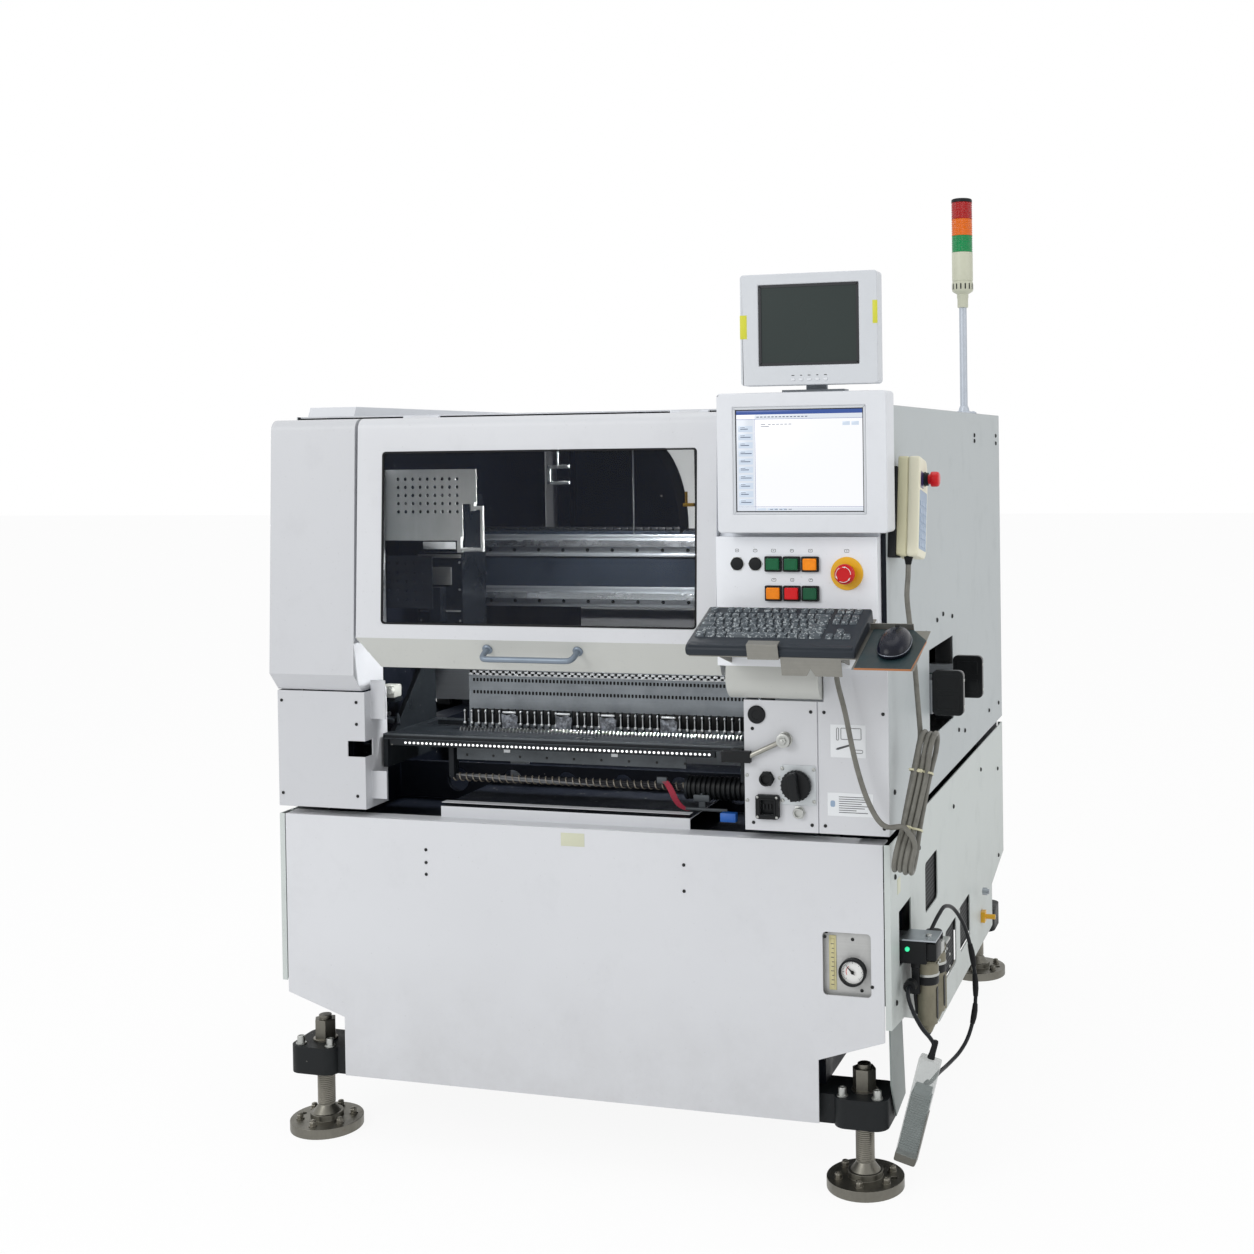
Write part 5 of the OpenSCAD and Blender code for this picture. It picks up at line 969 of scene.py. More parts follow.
# Keyboard on its tilted tray
slope = Matrix.Translation((0, -0.905, 1.045)) @ Matrix.Rotation(math.radians(18), 4, "X")
board = {"left": 325, "right": 639, "unit": 15.85, "keyDepth": 15.6, "rowStep": 18.6, "gapBelowTopRow": 4.5}
keyShell = plastic("keyboard_shell", "#2a3037", 0.42, 1500, 0.2)
keyCap = Finish("key_caps")
legend = keyCap.band(keyCap.noise(230, 2, 0.5), 0.56, 0.62)
keyCap.set(baseColor=keyCap.blend(legend * 0.75, tone("#454e55"), tone("#b9c1c4")),
           roughness=0.42 + keyCap.noise(60, 3) * 0.1,
           normal=keyCap.bump(keyCap.noise(1800, 2), 0.15, 0.0002))
shellOutline = [(-3, 4), (0, 0.4), (149, 0.4), (152, 4), (152, 25), (148, 29.5), (142, 29), (12, 21),
                (2, 18.5), (-3, 13)]
shellShape = plate(shellOutline, board["left"], board["right"], "x", 4, 4)
wristShape = plate(roundRect((board["left"] + board["right"]) / 2, 8, 306, 17, 4), 15, 20.6, "z", 1.5)


def keyRow(y, height, widths, x0):
    # tapered caps with a dished top, laid side by side
    parts, x, depth = [], x0, board["keyDepth"]
    for w in widths:
        if w > 0:
            middle = x + w / 2
            outlines = ((roundRect(middle, y, w - 1.3, depth - 1.2, 1.4, 3), height),
                        (roundRect(middle, y + 0.7, w - 4.6, depth - 5.0, 2.0, 3), height + 6.2),
                        (roundRect(middle, y + 0.7, w - 7.4, depth - 8.0, 1.6, 3), height + 5.5))
            parts.append(loft(np.stack([np.c_[o, np.full(len(o), z)] for o, z in outlines]) * mm))
        x += abs(w)
    return parts


# widths of the keys in key units, row by row; a gap is negative
keyRows = [[1, -1] + [1] * 4 + [-0.5] + [1] * 4 + [-0.5] + [1] * 4 + [-0.35] + [1] * 3,
           [1] * 13 + [2, -0.35] + [1] * 3, [1.5] + [1] * 12 + [1.5, -0.35] + [1] * 3,
           [1.75] + [1] * 11 + [2.25, -3.35], [2.25] + [1] * 10 + [2.75, -1.35, 1, -1],
           [1.25] * 3 + [6.0] + [1.25] * 3 + [1.5, -0.35] + [1] * 3]
caps = []
for index, widths in enumerate(keyRows):
    y = 136 - index * board["rowStep"] - (board["gapBelowTopRow"] if index else 0)
    caps += keyRow(y, 19.0 + y * 0.055, [w * board["unit"] for w in widths], board["left"] + 8)
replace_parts(addPiece("keyboard_body", swung(shellShape, slope), keyShell, "frame", 30), "keyboard")
addPiece("keyboard_rest", swung(wristShape, slope), keyShell)
addPiece("keyboard_caps", swung(joined(*caps), slope), keyCap, "frame", 25)

# Tray sheet, clip and flange; mouse mat with its worn edge; mouse
traySheet = metal("tray_sheet", "#8f8e88", 0.36, along=(5, 500, 500), stain=0.2, metallic=0.8)
matTone = Finish("mouse_mat")
matWear = matTone.band(matTone.noise(24, 6, 0.7), 0.5, 0.75)
matTone.set(baseColor=matTone.blend(matWear * 0.4, tone("#162a2e"), tone("#27454b")),
            roughness=0.42 + matWear * 0.2, normal=matTone.bump(matTone.noise(700, 3), 0.2, 0.0003))
matEdge = paint("mat_edge", "#a5683a", 0.5, mottle=0.25, dust=0.3)


def trayFace(c):
    # the mat lies above the shelf: the sheet keeps its metal
    x, y, z = slope.inverted() @ (Vector(c) * mm)
    top, edge = 0.6455 < x < 0.7525 and 0.0036 < z < 0.0046, x > 0.6455 and 0.0003 < z < 0.0037
    return int(top) + 2 * int(edge)


dressed("keyboard_tray", [traySheet, matTone, matEdge], 0.5, pick=trayFace)
mouse = {"at": (702, 41), "length": 106, "width": 58}
mouseGloss = Finish("mouse_shell", coatWeight=0.06).shine(0.2)
mouseGloss.set(baseColor=mouseGloss.blend(mouseGloss.noise(20, 3), tone("#080a12"), tone("#101527")),
               roughness=0.24 + mouseGloss.noise(300, 3) * 0.08)
t = np.linspace(0, 2 * math.pi, 48, endpoint=False)
levels = np.array([(0.86, 4.2), (0.95, 5.0), (1.0, 8.0), (0.99, 13), (0.95, 18), (0.87, 23.5), (0.74, 28.5),
                   (0.56, 32), (0.34, 34), (0.12, 34.8)])
mouseX = mouse["width"] / 2 * levels[:, :1] * np.sign(np.cos(t)) * np.abs(np.cos(t)) ** 0.86
mouseY = mouse["length"] / 2 * levels[:, :1] ** 0.9 * np.sign(np.sin(t)) * np.abs(np.sin(t)) ** 0.92
mouseX = mouseX * (1 - 0.10 * np.sin(t)) + mouse["at"][0]
mouseZ = levels[:, 1:] * (1 - 0.16 * (mouseY / 53) ** 2) + 0 * mouseX
mouseBody = loft(np.stack([mouseX, mouseY + mouse["at"][1], np.maximum(mouseZ, 4.1)], -1) * mm)
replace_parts(addPiece("mouse_shell", swung(mouseBody, slope), mouseGloss, "frame", 70), "mouse")
wheel = swung(turned([(7.4, -3.4), (8.2, -2.2), (8.2, 2.2), (7.4, 3.4)], (702, 70, 27), "x", 28), slope)
addPiece("mouse_wheel", wheel, rubber)
mouseBand = metal("mouse_trim", "#8e939c", 0.25, stain=0.05)
trimLine = np.stack([mouseX[3], mouseY[3] + mouse["at"][1], 11.5 + 0 * t], -1)
addPiece("mouse_line", swung(tube(np.vstack([trimLine, trimLine[:1]]), 0.8, 6), slope), mouseBand,
         "frame", 60)
print("keyboard and mouse placed")


# Pendant: two-part beige case, keypad face, stop button, holder
pendantAt = Matrix.Translation((0.665, -0.630, 1.297)) @ Matrix.Rotation(math.radians(-10), 4, "X")
beige = plastic("pendant_case", "#d3cfae", 0.42, 1500, 0.18, 0.04)
beigeLight = plastic("pendant_rim", "#e6e3cc", 0.4, 1500, 0.12, 0.03)
pendantOutline = np.array([(-42, -95), (30, -95), (42, -83), (42, 65), (26, 95), (-42, 95)], float)


shellA = plate(softened(pendantOutline, 8), 0.2, 19.4, "x", 2.5)
shellB = plate(softened(pendantOutline, 8), 20.2, 42, "x", 4)
joint = plate(softened(pendantOutline * 0.985, 8), 19.2, 20.4, "x")
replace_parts(addPiece("pendant_case", swung(joined(shellA, joint), pendantAt), beige, "frame", 40), "pendant")
addPiece("pendant_front", swung(shellB, pendantAt), beigeLight, "frame", 40)
padBlue = plastic("keypad_film", "#8fa3bb", 0.35, 900, 0.08)
padDark = plastic("keypad_window", "#3b3560", 0.2)
addPiece("keypad", swung(plate(roundRect(0, -24, 66, 112, 3), 41.6, 42.4, "x", 0.2), pendantAt), padBlue)
padKeys = [plate(roundRect(-22 + 14.6 * i, -70 + 15.5 * j, 11.5, 10, 2, 3), 42.2, 43.3, "x", 0.4)
           for i in range(4) for j in range(6)]
addPiece("keypad_keys", swung(joined(*padKeys), pendantAt), plastic("keypad_keys", "#a9b9cd", 0.4))
addPiece("keypad_display", swung(plate(roundRect(-16, 52, 26, 32, 2), 41.7, 42.5, "x", 0.2), pendantAt),
         padDark)
stopHead = turned([(9.4, 46.5), (9.5, 54.5), (13.6, 54.8), (14.5, 56), (14.5, 66), (13.2, 69.4), (10, 70.9),
                   (4, 71)], (0, 8, 57), "x", 40)
collar = turned([(14, 42), (14, 44), (12.6, 45), (12.6, 49.4), (11.6, 50)], (0, 8, 57), "x", 40)
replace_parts(addPiece("pendant_stop_cap", swung(stopHead, pendantAt), stopRed, "pendant_stop_head"),
            "pendant_stop")
addPiece("pendant_stop_collar", swung(collar, pendantAt), blackPlastic)
relief = [(8.6, -94.6), (8.6, -97)]
for k in range(5):
    r = 8.0 - 0.5 * k
    relief += [(r, -97.4 - 2.4 * k), (r, -98.8 - 2.4 * k), (r - 1.0, -99.0 - 2.4 * k),
               (r - 1.0, -99.7 - 2.4 * k)]
addPiece("pendant_relief", swung(turned(relief + [(5.3, -110)], (21, -24, 0), "z", 24), pendantAt), rubber)
dressed("pendant_holder", blackPlastic, 1.5, segments=3)
glandParts = joined(turned([(9.5, 1025), (9.5, 1016), (8.4, 1014.5)], (562, -739, 0), "z", 6),
                    turned([(7.6, 1015), (7.6, 1009), (6.0, 1006.4), (5.3, 1000)], (562, -739, 0), "z", 24))
addPiece("cord_gland", glandParts, blackPlastic)
print("pendant finished")


# Feeder opening: bank shelf, slotted plate with its pins, lit strip, wrapped bundle and ribbed duct
bank = {"plate": (-303, 330), "pitch": 16, "slots": 77, "slotPitch": 8, "film": (-191, -69, 30, 162),
        "filmWidth": 34, "dots": (-384, 288), "dotPitch": 9.6}
bankDark = castPaint("bank_paint", "#1d2125", 0.45)
slotSteel = metal("slot_plate_steel", "#8b9196", 0.36, along=(6, 500, 300), stain=0.35, metallic=0.75)
lowSteel = metal("lower_plate_steel", "#54595d", 0.45, along=(6, 500, 300), stain=0.3, metallic=0.6)
pinSteel = metal("pin_steel", "#c9ccce", 0.2, stain=0.1)
clampDark = metal("clamp_steel", "#2b2e31", 0.4, stain=0.4)


def bankFace(c):
    if c.z > 833 and -526 < c.y < -514:
        return 1
    if c.z > 833 and -556 < c.y < -546:
        return 3
    return 2 if -600 < c.y < -594 and c.z < 822 else 0


dressed("feeder_bank", [bankDark, slotSteel, lowSteel, clampDark], 0.4, pick=bankFace)
# dark sheet behind the slot plate and dark slot mouths: painted shade
shade = joined(box(-301, 328, -518.4, -517.8, 899, 940, 0.1), box(-296, 322, -519, -518.4, 834, 870, 0.1))
slotX = bank["plate"][0] + 8 + (np.arange(bank["slots"]) + 0.5) * bank["slotPitch"]
mouths = repeated(plate(roundRect(0, 0, 4.8, 7.4, 1.8, 3), -520.4, -519.9, "y"),
                  [(x, 0, z) for x in slotX for z in (905.5, 931.5)])
addPiece("slot_backing", [shade, mouths], recessShade)
upper = [box(-301, 328, -525.5, -521, 941.2, 942.4, 0.2)]
teeth = np.arange(-296, 322, 15.0)
upper += [repeated(box(-4.4, 4.4, -525, -520.6, 942.6, 946.4, 0.5), [(x, 0, 0) for x in teeth]),
          repeated(box(-4.4, 4.4, -524, -520.6, 946.9, 951.2, 0.5), [(x + 7.5, 0, 0) for x in teeth])]
addPiece("comb_strip", upper, pinSteel)
addPiece("comb_shadow", box(-301, 328, -520.4, -519.6, 941, 951.6, 0.1), recessShade)
places = [x for x in np.arange(bank["plate"][0] + 8, bank["plate"][1] - 8, bank["pitch"])
          if all(abs(x - f) > bank["filmWidth"] / 2 for f in bank["film"])]
onePin = joined(rod((0, -557, 846), (0, -557, 869), 1.3, 8),
                turned([(1.4, 867), (2.6, 869.5), (2.6, 872), (1.2, 874)], (0, -557, 0), "z", 8),
                box(-2.6, 2.6, -558.4, -554.2, 843, 848, 0.5))
addPiece("clamp_pins", repeated(onePin, [(x, 0, 0) for x in places]), pinSteel)
tip = plate([(-577, 832.4), (-577, 836.5), (-571, 841), (-564, 838), (-562, 832.4)], -0.9, 0.9, "x", 0.3)
addPiece("guide_tips", repeated(tip, [(x, 0, 0) for x in np.arange(-296, 322, 8.0)]), pinSteel)
film = Finish("loose_film", coatWeight=0.6)
creases = film.noise(95, 6, 0.75)
film.set(baseColor=film.blend(film.band(creases, 0.45, 0.62), tone("#3f444c"), tone("#9aa0aa")),
         roughness=0.3, normal=film.bump(creases, 0.9, 0.004))
films = [plate([(f - 17, 838), (f + 16, 838), (f + 19, 862), (f + 9, 868), (f - 6, 864), (f - 18, 867)],
               -560.5, -559.4, "y", 0.3)
         for f in bank["film"]]
addPiece("slot_films", films, film)
filmTops = [box(f - 15, f + 15, -562, -558, 868.4, 872.4, 0.6) for f in bank["film"]]
addPiece("film_clips", filmTops, pinSteel)
lampDot = glowing("strip_lamp", "#ffffff", 1.5)
dot = plate(roundRect(0, 816, 5.4, 4.6, 2, 3), -648.6, -647.7, "y", 0.2, 2)
addPiece("strip_lamps", repeated(dot, [(x, 0, 0) for x in np.arange(*bank["dots"], bank["dotPitch"])]),
         lampDot)
shelfEdge = joined(box(-438, 348, -640.4, -636, 828.8, 832.6, 0.4),
                   box(-438, 348, -640.6, -639.8, 821, 823, 0.2))
addPiece("shelf_edge", shelfEdge, lowSteel)
addPiece("lower_plate_tags", tagged([(-186, -172, 794, 810), (52, 66, 794, 810)], -598.9, -597.9, 0.2),
         plainLabel)
lowScrews = repeated(screwHead(2.6, 1.3, "y", -1), [(x, -598, 786) for x in range(-270, 211, 60)])
addPiece("lower_plate_screws", lowScrews, boltDark)

wire = plastic("wire_cover", "#26272b", 0.4)
wireGrey = plastic("grey_wire_cover", "#6d6f72", 0.4)
core, x = [], np.linspace(-314, 212, 60)
for k in range(6):
    a = k * math.pi / 3 + x * 0.011
    core.append(tube(np.c_[x, -580 + 4.4 * np.cos(a), 736 + 4.4 * np.sin(a)], 2.4, 8))
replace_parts(addPiece("bundle_wires", core[:4], wire, "frame", 60), "cable_bundle")
addPiece("bundle_grey_wires", core[4:], wireGrey, "frame", 60)
wrapClear = Finish("spiral_wrap", coatWeight=0.8)
wrapClear.set(baseColor=wrapClear.blend(wrapClear.noise(90, 4), tone("#5d564c"), tone("#b3ab9c")),
              roughness=0.22 + wrapClear.noise(300, 3) * 0.1)
x = np.linspace(-310, 208, 620)
a = x * 2 * math.pi / 15
addPiece("bundle_wrap", tube(np.c_[x, -580 + 8.0 * np.cos(a), 736 + 8.0 * np.sin(a)], 1.3, 6), wrapClear,
         "frame", 60)
ribs = [(14, 213)]
for k in range(20):
    ribs += [(19.5, 214 + k * 10.4), (23.6, 216 + k * 10.4), (23.6, 220.5 + k * 10.4),
             (19.5, 222.5 + k * 10.4)]
ribs.append((15, 424))
addPiece("ribbed_duct", turned(ribs, (0, -580, 736), "x", 36), blackPlastic, "frame", 50)
collars = joined(turned([(16, 206), (24, 208), (24, 214), (17, 215)], (0, -580, 736), "x", 28),
                 turned([(18, 421), (24, 422), (24, 427), (18, 428)], (0, -580, 736), "x", 28))
hangers = joined(box(-316, -304, -592, -568, 736, 819, 1.0), box(427, 529, -596, -564, 716, 756, 2))
addPiece("duct_collars", [collars, hangers], bankDark)
ribbonRed = plastic("ribbon_red", "#a3203c", 0.45, 500, 0.2)
lineA = np.array([(161, 749), (168, 742), (176, 728), (184, 712), (196, 699), (214, 692)], float)
down = smoothLine(np.c_[lineA, np.zeros(6)], 4)[:, :2]
ribbon = plate(np.vstack([down, (down + [13, 2])[::-1]]), -602, -600.8, "y")
ridges = [plate(np.vstack([down + [k, k * 0.15], (down + [k + 1.6, k * 0.15])[::-1]]), -602.7, -601.9, "y")
          for k in (1, 4, 7, 10)]
addPiece("red_ribbon", [ribbon, *ridges], ribbonRed, "frame", 60)
connectorBlue = plastic("blue_connector", "#1f5fb4", 0.35)
blocks = joined(box(300, 332, -652, -636, 685.4, 703, 1.5), box(304, 328, -652.4, -640, 689, 699, 0.8))
addPiece("blue_block", blocks, connectorBlue)
smallParts = joined(box(238, 252, -600, -597, 694, 728, 1), box(228, 262, -604, -590, 712, 726, 2),
                    box(150, 172, -602.5, -594, 744, 758, 2), box(212, 300, -606, -600, 694, 700, 1))
addPiece("lead_clamps", smallParts, lowSteel)

valveWhite = plastic("valve_body", "#b9bbb5", 0.4, 900, 0.2)
valve = [box(-474, -441, -590, -558, 898, 924, 3), box(-470, -452, -594, -588, 902, 918, 2)]
valve += [turned([(7, -590), (7.6, -594), (7.6, -601), (6, -602.4)], at, "y", 20)
          for at in ((-462, 0, 906), (-446, 0, 914))]
addPiece("valve_block", valve, valveWhite)
valveDark = joined(box(-478, -440.4, -588, -556, 889, 897.6, 1),
                   rod((-468, -574, 897), (-468, -574, 852), 3, 12),
                   box(-486, -440.2, -596, -560, 846, 854, 1.5),
                   rod((-440, -580, 862), (-420, -610, 846), 3.4, 12))
addPiece("valve_bracket", valveDark, bankDark)
addPiece("valve_studs", [turned([(4.6, -600), (4.6, -596), (3, -595.6)], at, "y", 12)
                         for at in ((-474, 0, 858), (-450, 0, 866))], pinSteel)

# Panel ledge: only its folded edge is bright, the sheet behind it lies in the dark
addPiece("ledge_strip", box(-299, 239, -656.4, -636, 697.6, 698.5, 0.3), coverLow)
print("feeder opening finished")


# Levelling feet: turned steel with threads, hexagon bolts and nuts
footSteel = metal("foot_steel", "#7c7a72", 0.34, along=(300, 300, 20), stain=0.45, rust=0.35)
dressed("levelling_feet", footSteel, 1.4, segments=3)
thread = [(17.2, 50)]
for z in np.arange(51, 127, 4.0):
    thread += [(18.3, z), (18.3, z + 1.4), (17.3, z + 2.4), (17.3, z + 3.4)]
feet = [(x, y) for x in (-583, 583) for y in (-649, 649)]
footPieces = []
for fx, fy in feet:
    footPieces.append(turned(thread, (fx, fy, 0), "z", 24))
    footPieces.append(turned([(25, 184.2), (25, 187.4), (24, 188)], (fx, fy, 0), "z", 28))
    for k in range(6):
        a = math.radians(30 + 60 * k)
        bx, by = fx + 54 * math.cos(a), fy + 54 * math.sin(a)
        footPieces.append(turned([(8.6, 20.05), (8.6, 21.6), (8, 22)], (bx, by, 0), "z", 18))
        footPieces.append(turned([(7.2, 22), (7.3, 28.6), (6.4, 29.8), (3.9, 29.8), (3.9, 32.6), (3.2, 33.2)],
                                 (bx, by, 0), "z", 6))
addPiece("foot_threads", footPieces, metal("thread_steel", "#8b887f", 0.3, stain=0.5, rust=0.2), "frame", 30)
washerProfiles = ([(11, 184.1), (11, 186.4), (10.2, 187)],
                  [(4.2, 199.6), (4.2, 200.9), (6.6, 201.2), (6.6, 200.6), (7.8, 199)])
washers = [turned(p, (x + dx, y - 38, 0), "z", 20) for x, y in feet for p in washerProfiles
           for dx in (-34, 34)]
addPiece("bracket_washers", washers, zinc)
print("feet finished")


# Air unit: filter heads and bowls, black switch box, yellow nipple, pressed clamp plate
airCast = metal("filter_casting", "#84806f", 0.42, along=(60, 60, 60), stain=0.5, metallic=0.65)
brassYellow = plastic("nipple_yellow", "#d9a51c", 0.35, 900, 0.1)


def airFace(c):
    if c.y > 100:
        return 2 if c.x > 646 else 1
    if c.z > 467.9 and c.z < 472 or c.z > 467 and c.x > 653 and c.z < 472:
        return 3
    return 1 if (c.y < -557 and c.z > 423) or (c.y < -620) else 0


clampPlate = metal("clamp_plate_zinc", "#aab0b6", 0.22, along=(300, 8, 300), stain=0.1)
dressed("air_unit", [airCast, blackPlastic, brassYellow, clampPlate], 1.2, segments=2, pick=airFace)
airDark, airBright = [], []
for by in (-582, -508):
    airDark.append(turned([(22.6, 378), (23.4, 380), (23.4, 392), (22.4, 394)], (694, by, 0), "z", 24))
    airDark.append(turned([(9.6, 300), (9.4, 284), (6, 277.5), (3, 277.2)], (694, by, 0), "z", 16))
    airDark.append(plate(roundRect(by, 340, 12, 62, 5), 710.5, 714.9, "x", 0.6))
    airBright.append(turned([(24.2, 394.4), (24.2, 398), (23.4, 399)], (694, by, 0), "z", 24))
airDark += [box(676, 719, -612, -566, 428, 462, 3), box(668, 684, -606, -586, 360, 424, 2),
            box(662, 676, -560, -532, 350, 420, 2), rod((672, -590, 360), (676, -590, 318), 4, 14),
            turned([(9, 423), (10, 421), (10, 412), (8, 410)], (676, -600, 0), "z", 14)]
airBright += [repeated(screwHead(3, 2, "x", 1),
                       [(717.4, y, z) for y, z in ((-590, 420), (-574, 420), (-516, 420), (-500, 420),
                                                   (-470, 400), (-470, 376))]),
              turned([(6, 461), (6, 473), (4.6, 474.4)], (700, -590, 0), "z", 12),
              turned([(8, 424), (8, 440), (6.4, 441.6)], (706, -534, 0), "z", 14),
              box(706, 717.6, -548, -520, 424, 446, 2), box(700, 716, -486, -450, 424, 430, 1.5)]
addPiece("filter_dark_parts", airDark, blackPlastic)
addPiece("filter_bright_parts", airBright, zinc)
switchGlow = Finish("switch_lamp", roughness=0.2)
switchGlow.set(baseColor=switchGlow.blend(switchGlow.noise(200, 2), tone("#1fb87d"), tone("#55e0a8")),
               emissionColor=tone("#2fd694"), emissionStrength=0.9)
lamps = joined(turned([(4.6, -620.6), (4.6, -623), (3.2, -625), (1, -625.6)], (664, 0, 452), "y", 16),
               turned([(3.8, 650), (3.8, 655), (2.6, 656.6)], (0, -612, 462), "x", 16))
addPiece("switch_lamps", lamps, switchGlow)
hoseBlue = plastic("air_tube_blue", "#2d52b4", 0.3)
blueLine = smoothLine([(652, -618, 458), (664, -606, 459.6), (680, -580, 460), (690, -562, 460)], 5)
addPiece("blue_tube", tube(blueLine, 2.0, 10), hoseBlue, "frame", 60)
addPiece("nipple_collar", turned([(6.2, 684), (6.2, 680), (9, 679), (9, 668), (6.4, 667)], (0, 246, 332), "x",
                                 20), clampPlate)
knobRibs = [(16.4, 430.4), (17, 432), (17, 455), (15.6, 457.6), (4, 458)]
knobShapes = [turned(knobRibs, (694, -508, 0), "z", 40),
              turned([(8.8, 424.8), (8.8, 430.6), (8, 431)], (694, -508, 0), "z", 24)]
for a in np.arange(20) * math.pi / 10:
    kx, ky = 694 + 16.9 * math.cos(a), -508 + 16.9 * math.sin(a)
    knobShapes.append(rod((kx, ky, 434), (kx, ky, 453), 1.0, 6))
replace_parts(addPiece("regulator_cap", knobShapes, blackPlastic, "air_knob"), "regulator_knob")
print("air unit finished")


# Gauge: sunk plate, black rim, white dial with plain ticks, level strip
gaugePlate = metal("gauge_plate", "#bcbdbc", 0.38, stain=0.2, metallic=0.4)
dressed("pressure_gauge", [gaugePlate, blackPlastic], 0.5, pick=lambda c: int(c.y < -688.5 or c.y > -685))
gx, gz = 574, 424
dialWhite = Finish("dial_face", roughness=0.4)
dialWhite.set(baseColor=dialWhite.blend(dialWhite.noise(60, 4), tone("#e9eae8"), tone("#f4f5f3")))
rimCircle = [(gx + 26.1 * math.cos(a), gz + 26.1 * math.sin(a)) for a in np.arange(56) * math.pi / 28]
addPiece("gauge_rim", band(rimCircle, 3.6, -702.3, -694.5, "y"), blackPlastic)
addPiece("gauge_dial", turned([(22.4, -694.05), (22.4, -694.6), (1, -694.62)], (gx, 0, gz), "y", 56),
         dialWhite)
marks = []
for k in range(31):
    a = math.radians(-45 + 270 * k / 30)
    long = 4.2 if k % 5 == 0 else 2.2
    marks.append(swung(box(20.4 - long, 20.4, -694.95, -694.55, -0.35, 0.35, 0.05),
                       Matrix.Translation((gx * mm, 0, gz * mm)) @ Matrix.Rotation(-a, 4, "Y")))
addPiece("dial_ticks", marks, labelInk)
addPiece("dial_arc", plate([(gx + r * math.cos(a), gz + r * math.sin(a))
                            for r, sweep in ((13.4, 1), (12.2, -1))
                            for a in np.linspace(2.2, 3.6, 10)[::sweep]], -694.9, -694.55, "y"), stopRed)
needleInk = plastic("needle_paint", "#141414", 0.4)
needleShape = joined(plate([(gx - 13, gz + 13), (gx - 1.4, gz - 1.4), (gx + 5, gz - 5), (gx + 1.4, gz + 1.4)],
                           -698.4, -697.8, "y"),
                     turned([(3.4, -696.9), (3.4, -698.2), (2.4, -698.9), (1, -699)], (gx, 0, gz), "y", 20))
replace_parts(addPiece("needle_skin", needleShape, needleInk, "needle"), "gauge_needle")
levelStrip = plastic("level_strip", "#c9c293", 0.4, 900, 0.15)
stripParts = joined(box(527, 541, -689.6, -688, 386, 490, 0.6), box(530.4, 537.6, -691, -689, 392, 484, 0.8))
addPiece("level_strip", stripParts, levelStrip)
tickRows = [(531 + (k % 3), 537, 396 + k * 8.6, 397.4 + k * 8.6) for k in range(10)]
addPiece("level_ticks", tagged(tickRows, -691.3, -690.8, 0.05), labelInk)
addPiece("gauge_screws", repeated(screwHead(3.4, 1.4, "y", -1),
                                  [(573, -688, 484), (590, -688, 388), (522, -688, 496)]), boltDark)
print("gauge finished")


# Hanging case: clear ribbed housing with a grey ribbed strip inside
caseLow, caseTop = np.array([664.0, -664, 62]), np.array([716.0, -652, 262])
caseAt = Matrix.Translation(Vector(caseLow * mm)) @ Matrix.Rotation(math.atan2(52, 200), 4, "Y")
caseLong = float(np.linalg.norm(caseTop - caseLow))
caseClear = Finish("case_clear", coatWeight=0.6)
haze = caseClear.noise(30, 4)
caseClear.set(baseColor=caseClear.blend(haze, tone("#858d8b"), tone("#aab2b0")),
              roughness=0.25 + haze * 0.1, alpha=0.42)
caseGreyRib = plastic("case_insert", "#667070", 0.45)
caseDarkEnd = plastic("case_end", "#5c5b54", 0.4)
outer = plate(roundRect(0, 0, 41.6, 31.6, 5), 3, caseLong - 1, "z", 3)
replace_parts(addPiece("hanging_case_shell", swung(outer, caseAt), caseClear), "hanging_case")
ribPlates = [plate(roundRect(0, 0, 38, 28, 3), 28 + k * 4.6, 30.4 + k * 4.6, "z", 0.6, 2) for k in range(24)]
insert = joined(plate(roundRect(0, 0, 33, 24, 3), 24, 150, "z", 1), *ribPlates)
addPiece("case_insert", swung(insert, caseAt), caseGreyRib)
ends = joined(plate(roundRect(0, 0, 42, 32, 5), 0.1, 18, "z", 2.5), box(19.2, 21.3, -13, 13, 4, 104, 0.8))
addPiece("case_ends", swung(ends, caseAt), caseDarkEnd)
grips = []
for line in (loopPath, bowlPath):
    way = unit(line[-1] - line[-2])
    grips.append(tube(np.stack([line[-1] - way * back for back in (36, 33, 12, 0.5)]),
                      np.array([4.4, 5.4, 6.0, 7.4]), 14))
first = unit(loopPath[1] - loopPath[0])
reliefLine = np.stack([loopPath[0] + first * along for along in (0.5, 18, 21)])
caseGrips = addPiece("lead_grips", grips, rubber, "frame", 40)
addPiece("box_relief", tube(reliefLine, np.array([6.4, 5.4, 4.3]), 14), rubber, "frame", 40)
couplings = []
for share in (0.43, 0.49, 0.54):
    start = int(share * len(loopPath))
    count = max(4, int(24 * len(loopPath) * mm / lengthOf(loopPath)))
    couplings.append(tube(loopPath[start:start + count], np.array([5.0] + [6.2] * (count - 2) + [5.0]), 16))
leadCouplings = addPiece("lead_couplings", couplings, rubber, "frame", 40)
print("hanging case finished")


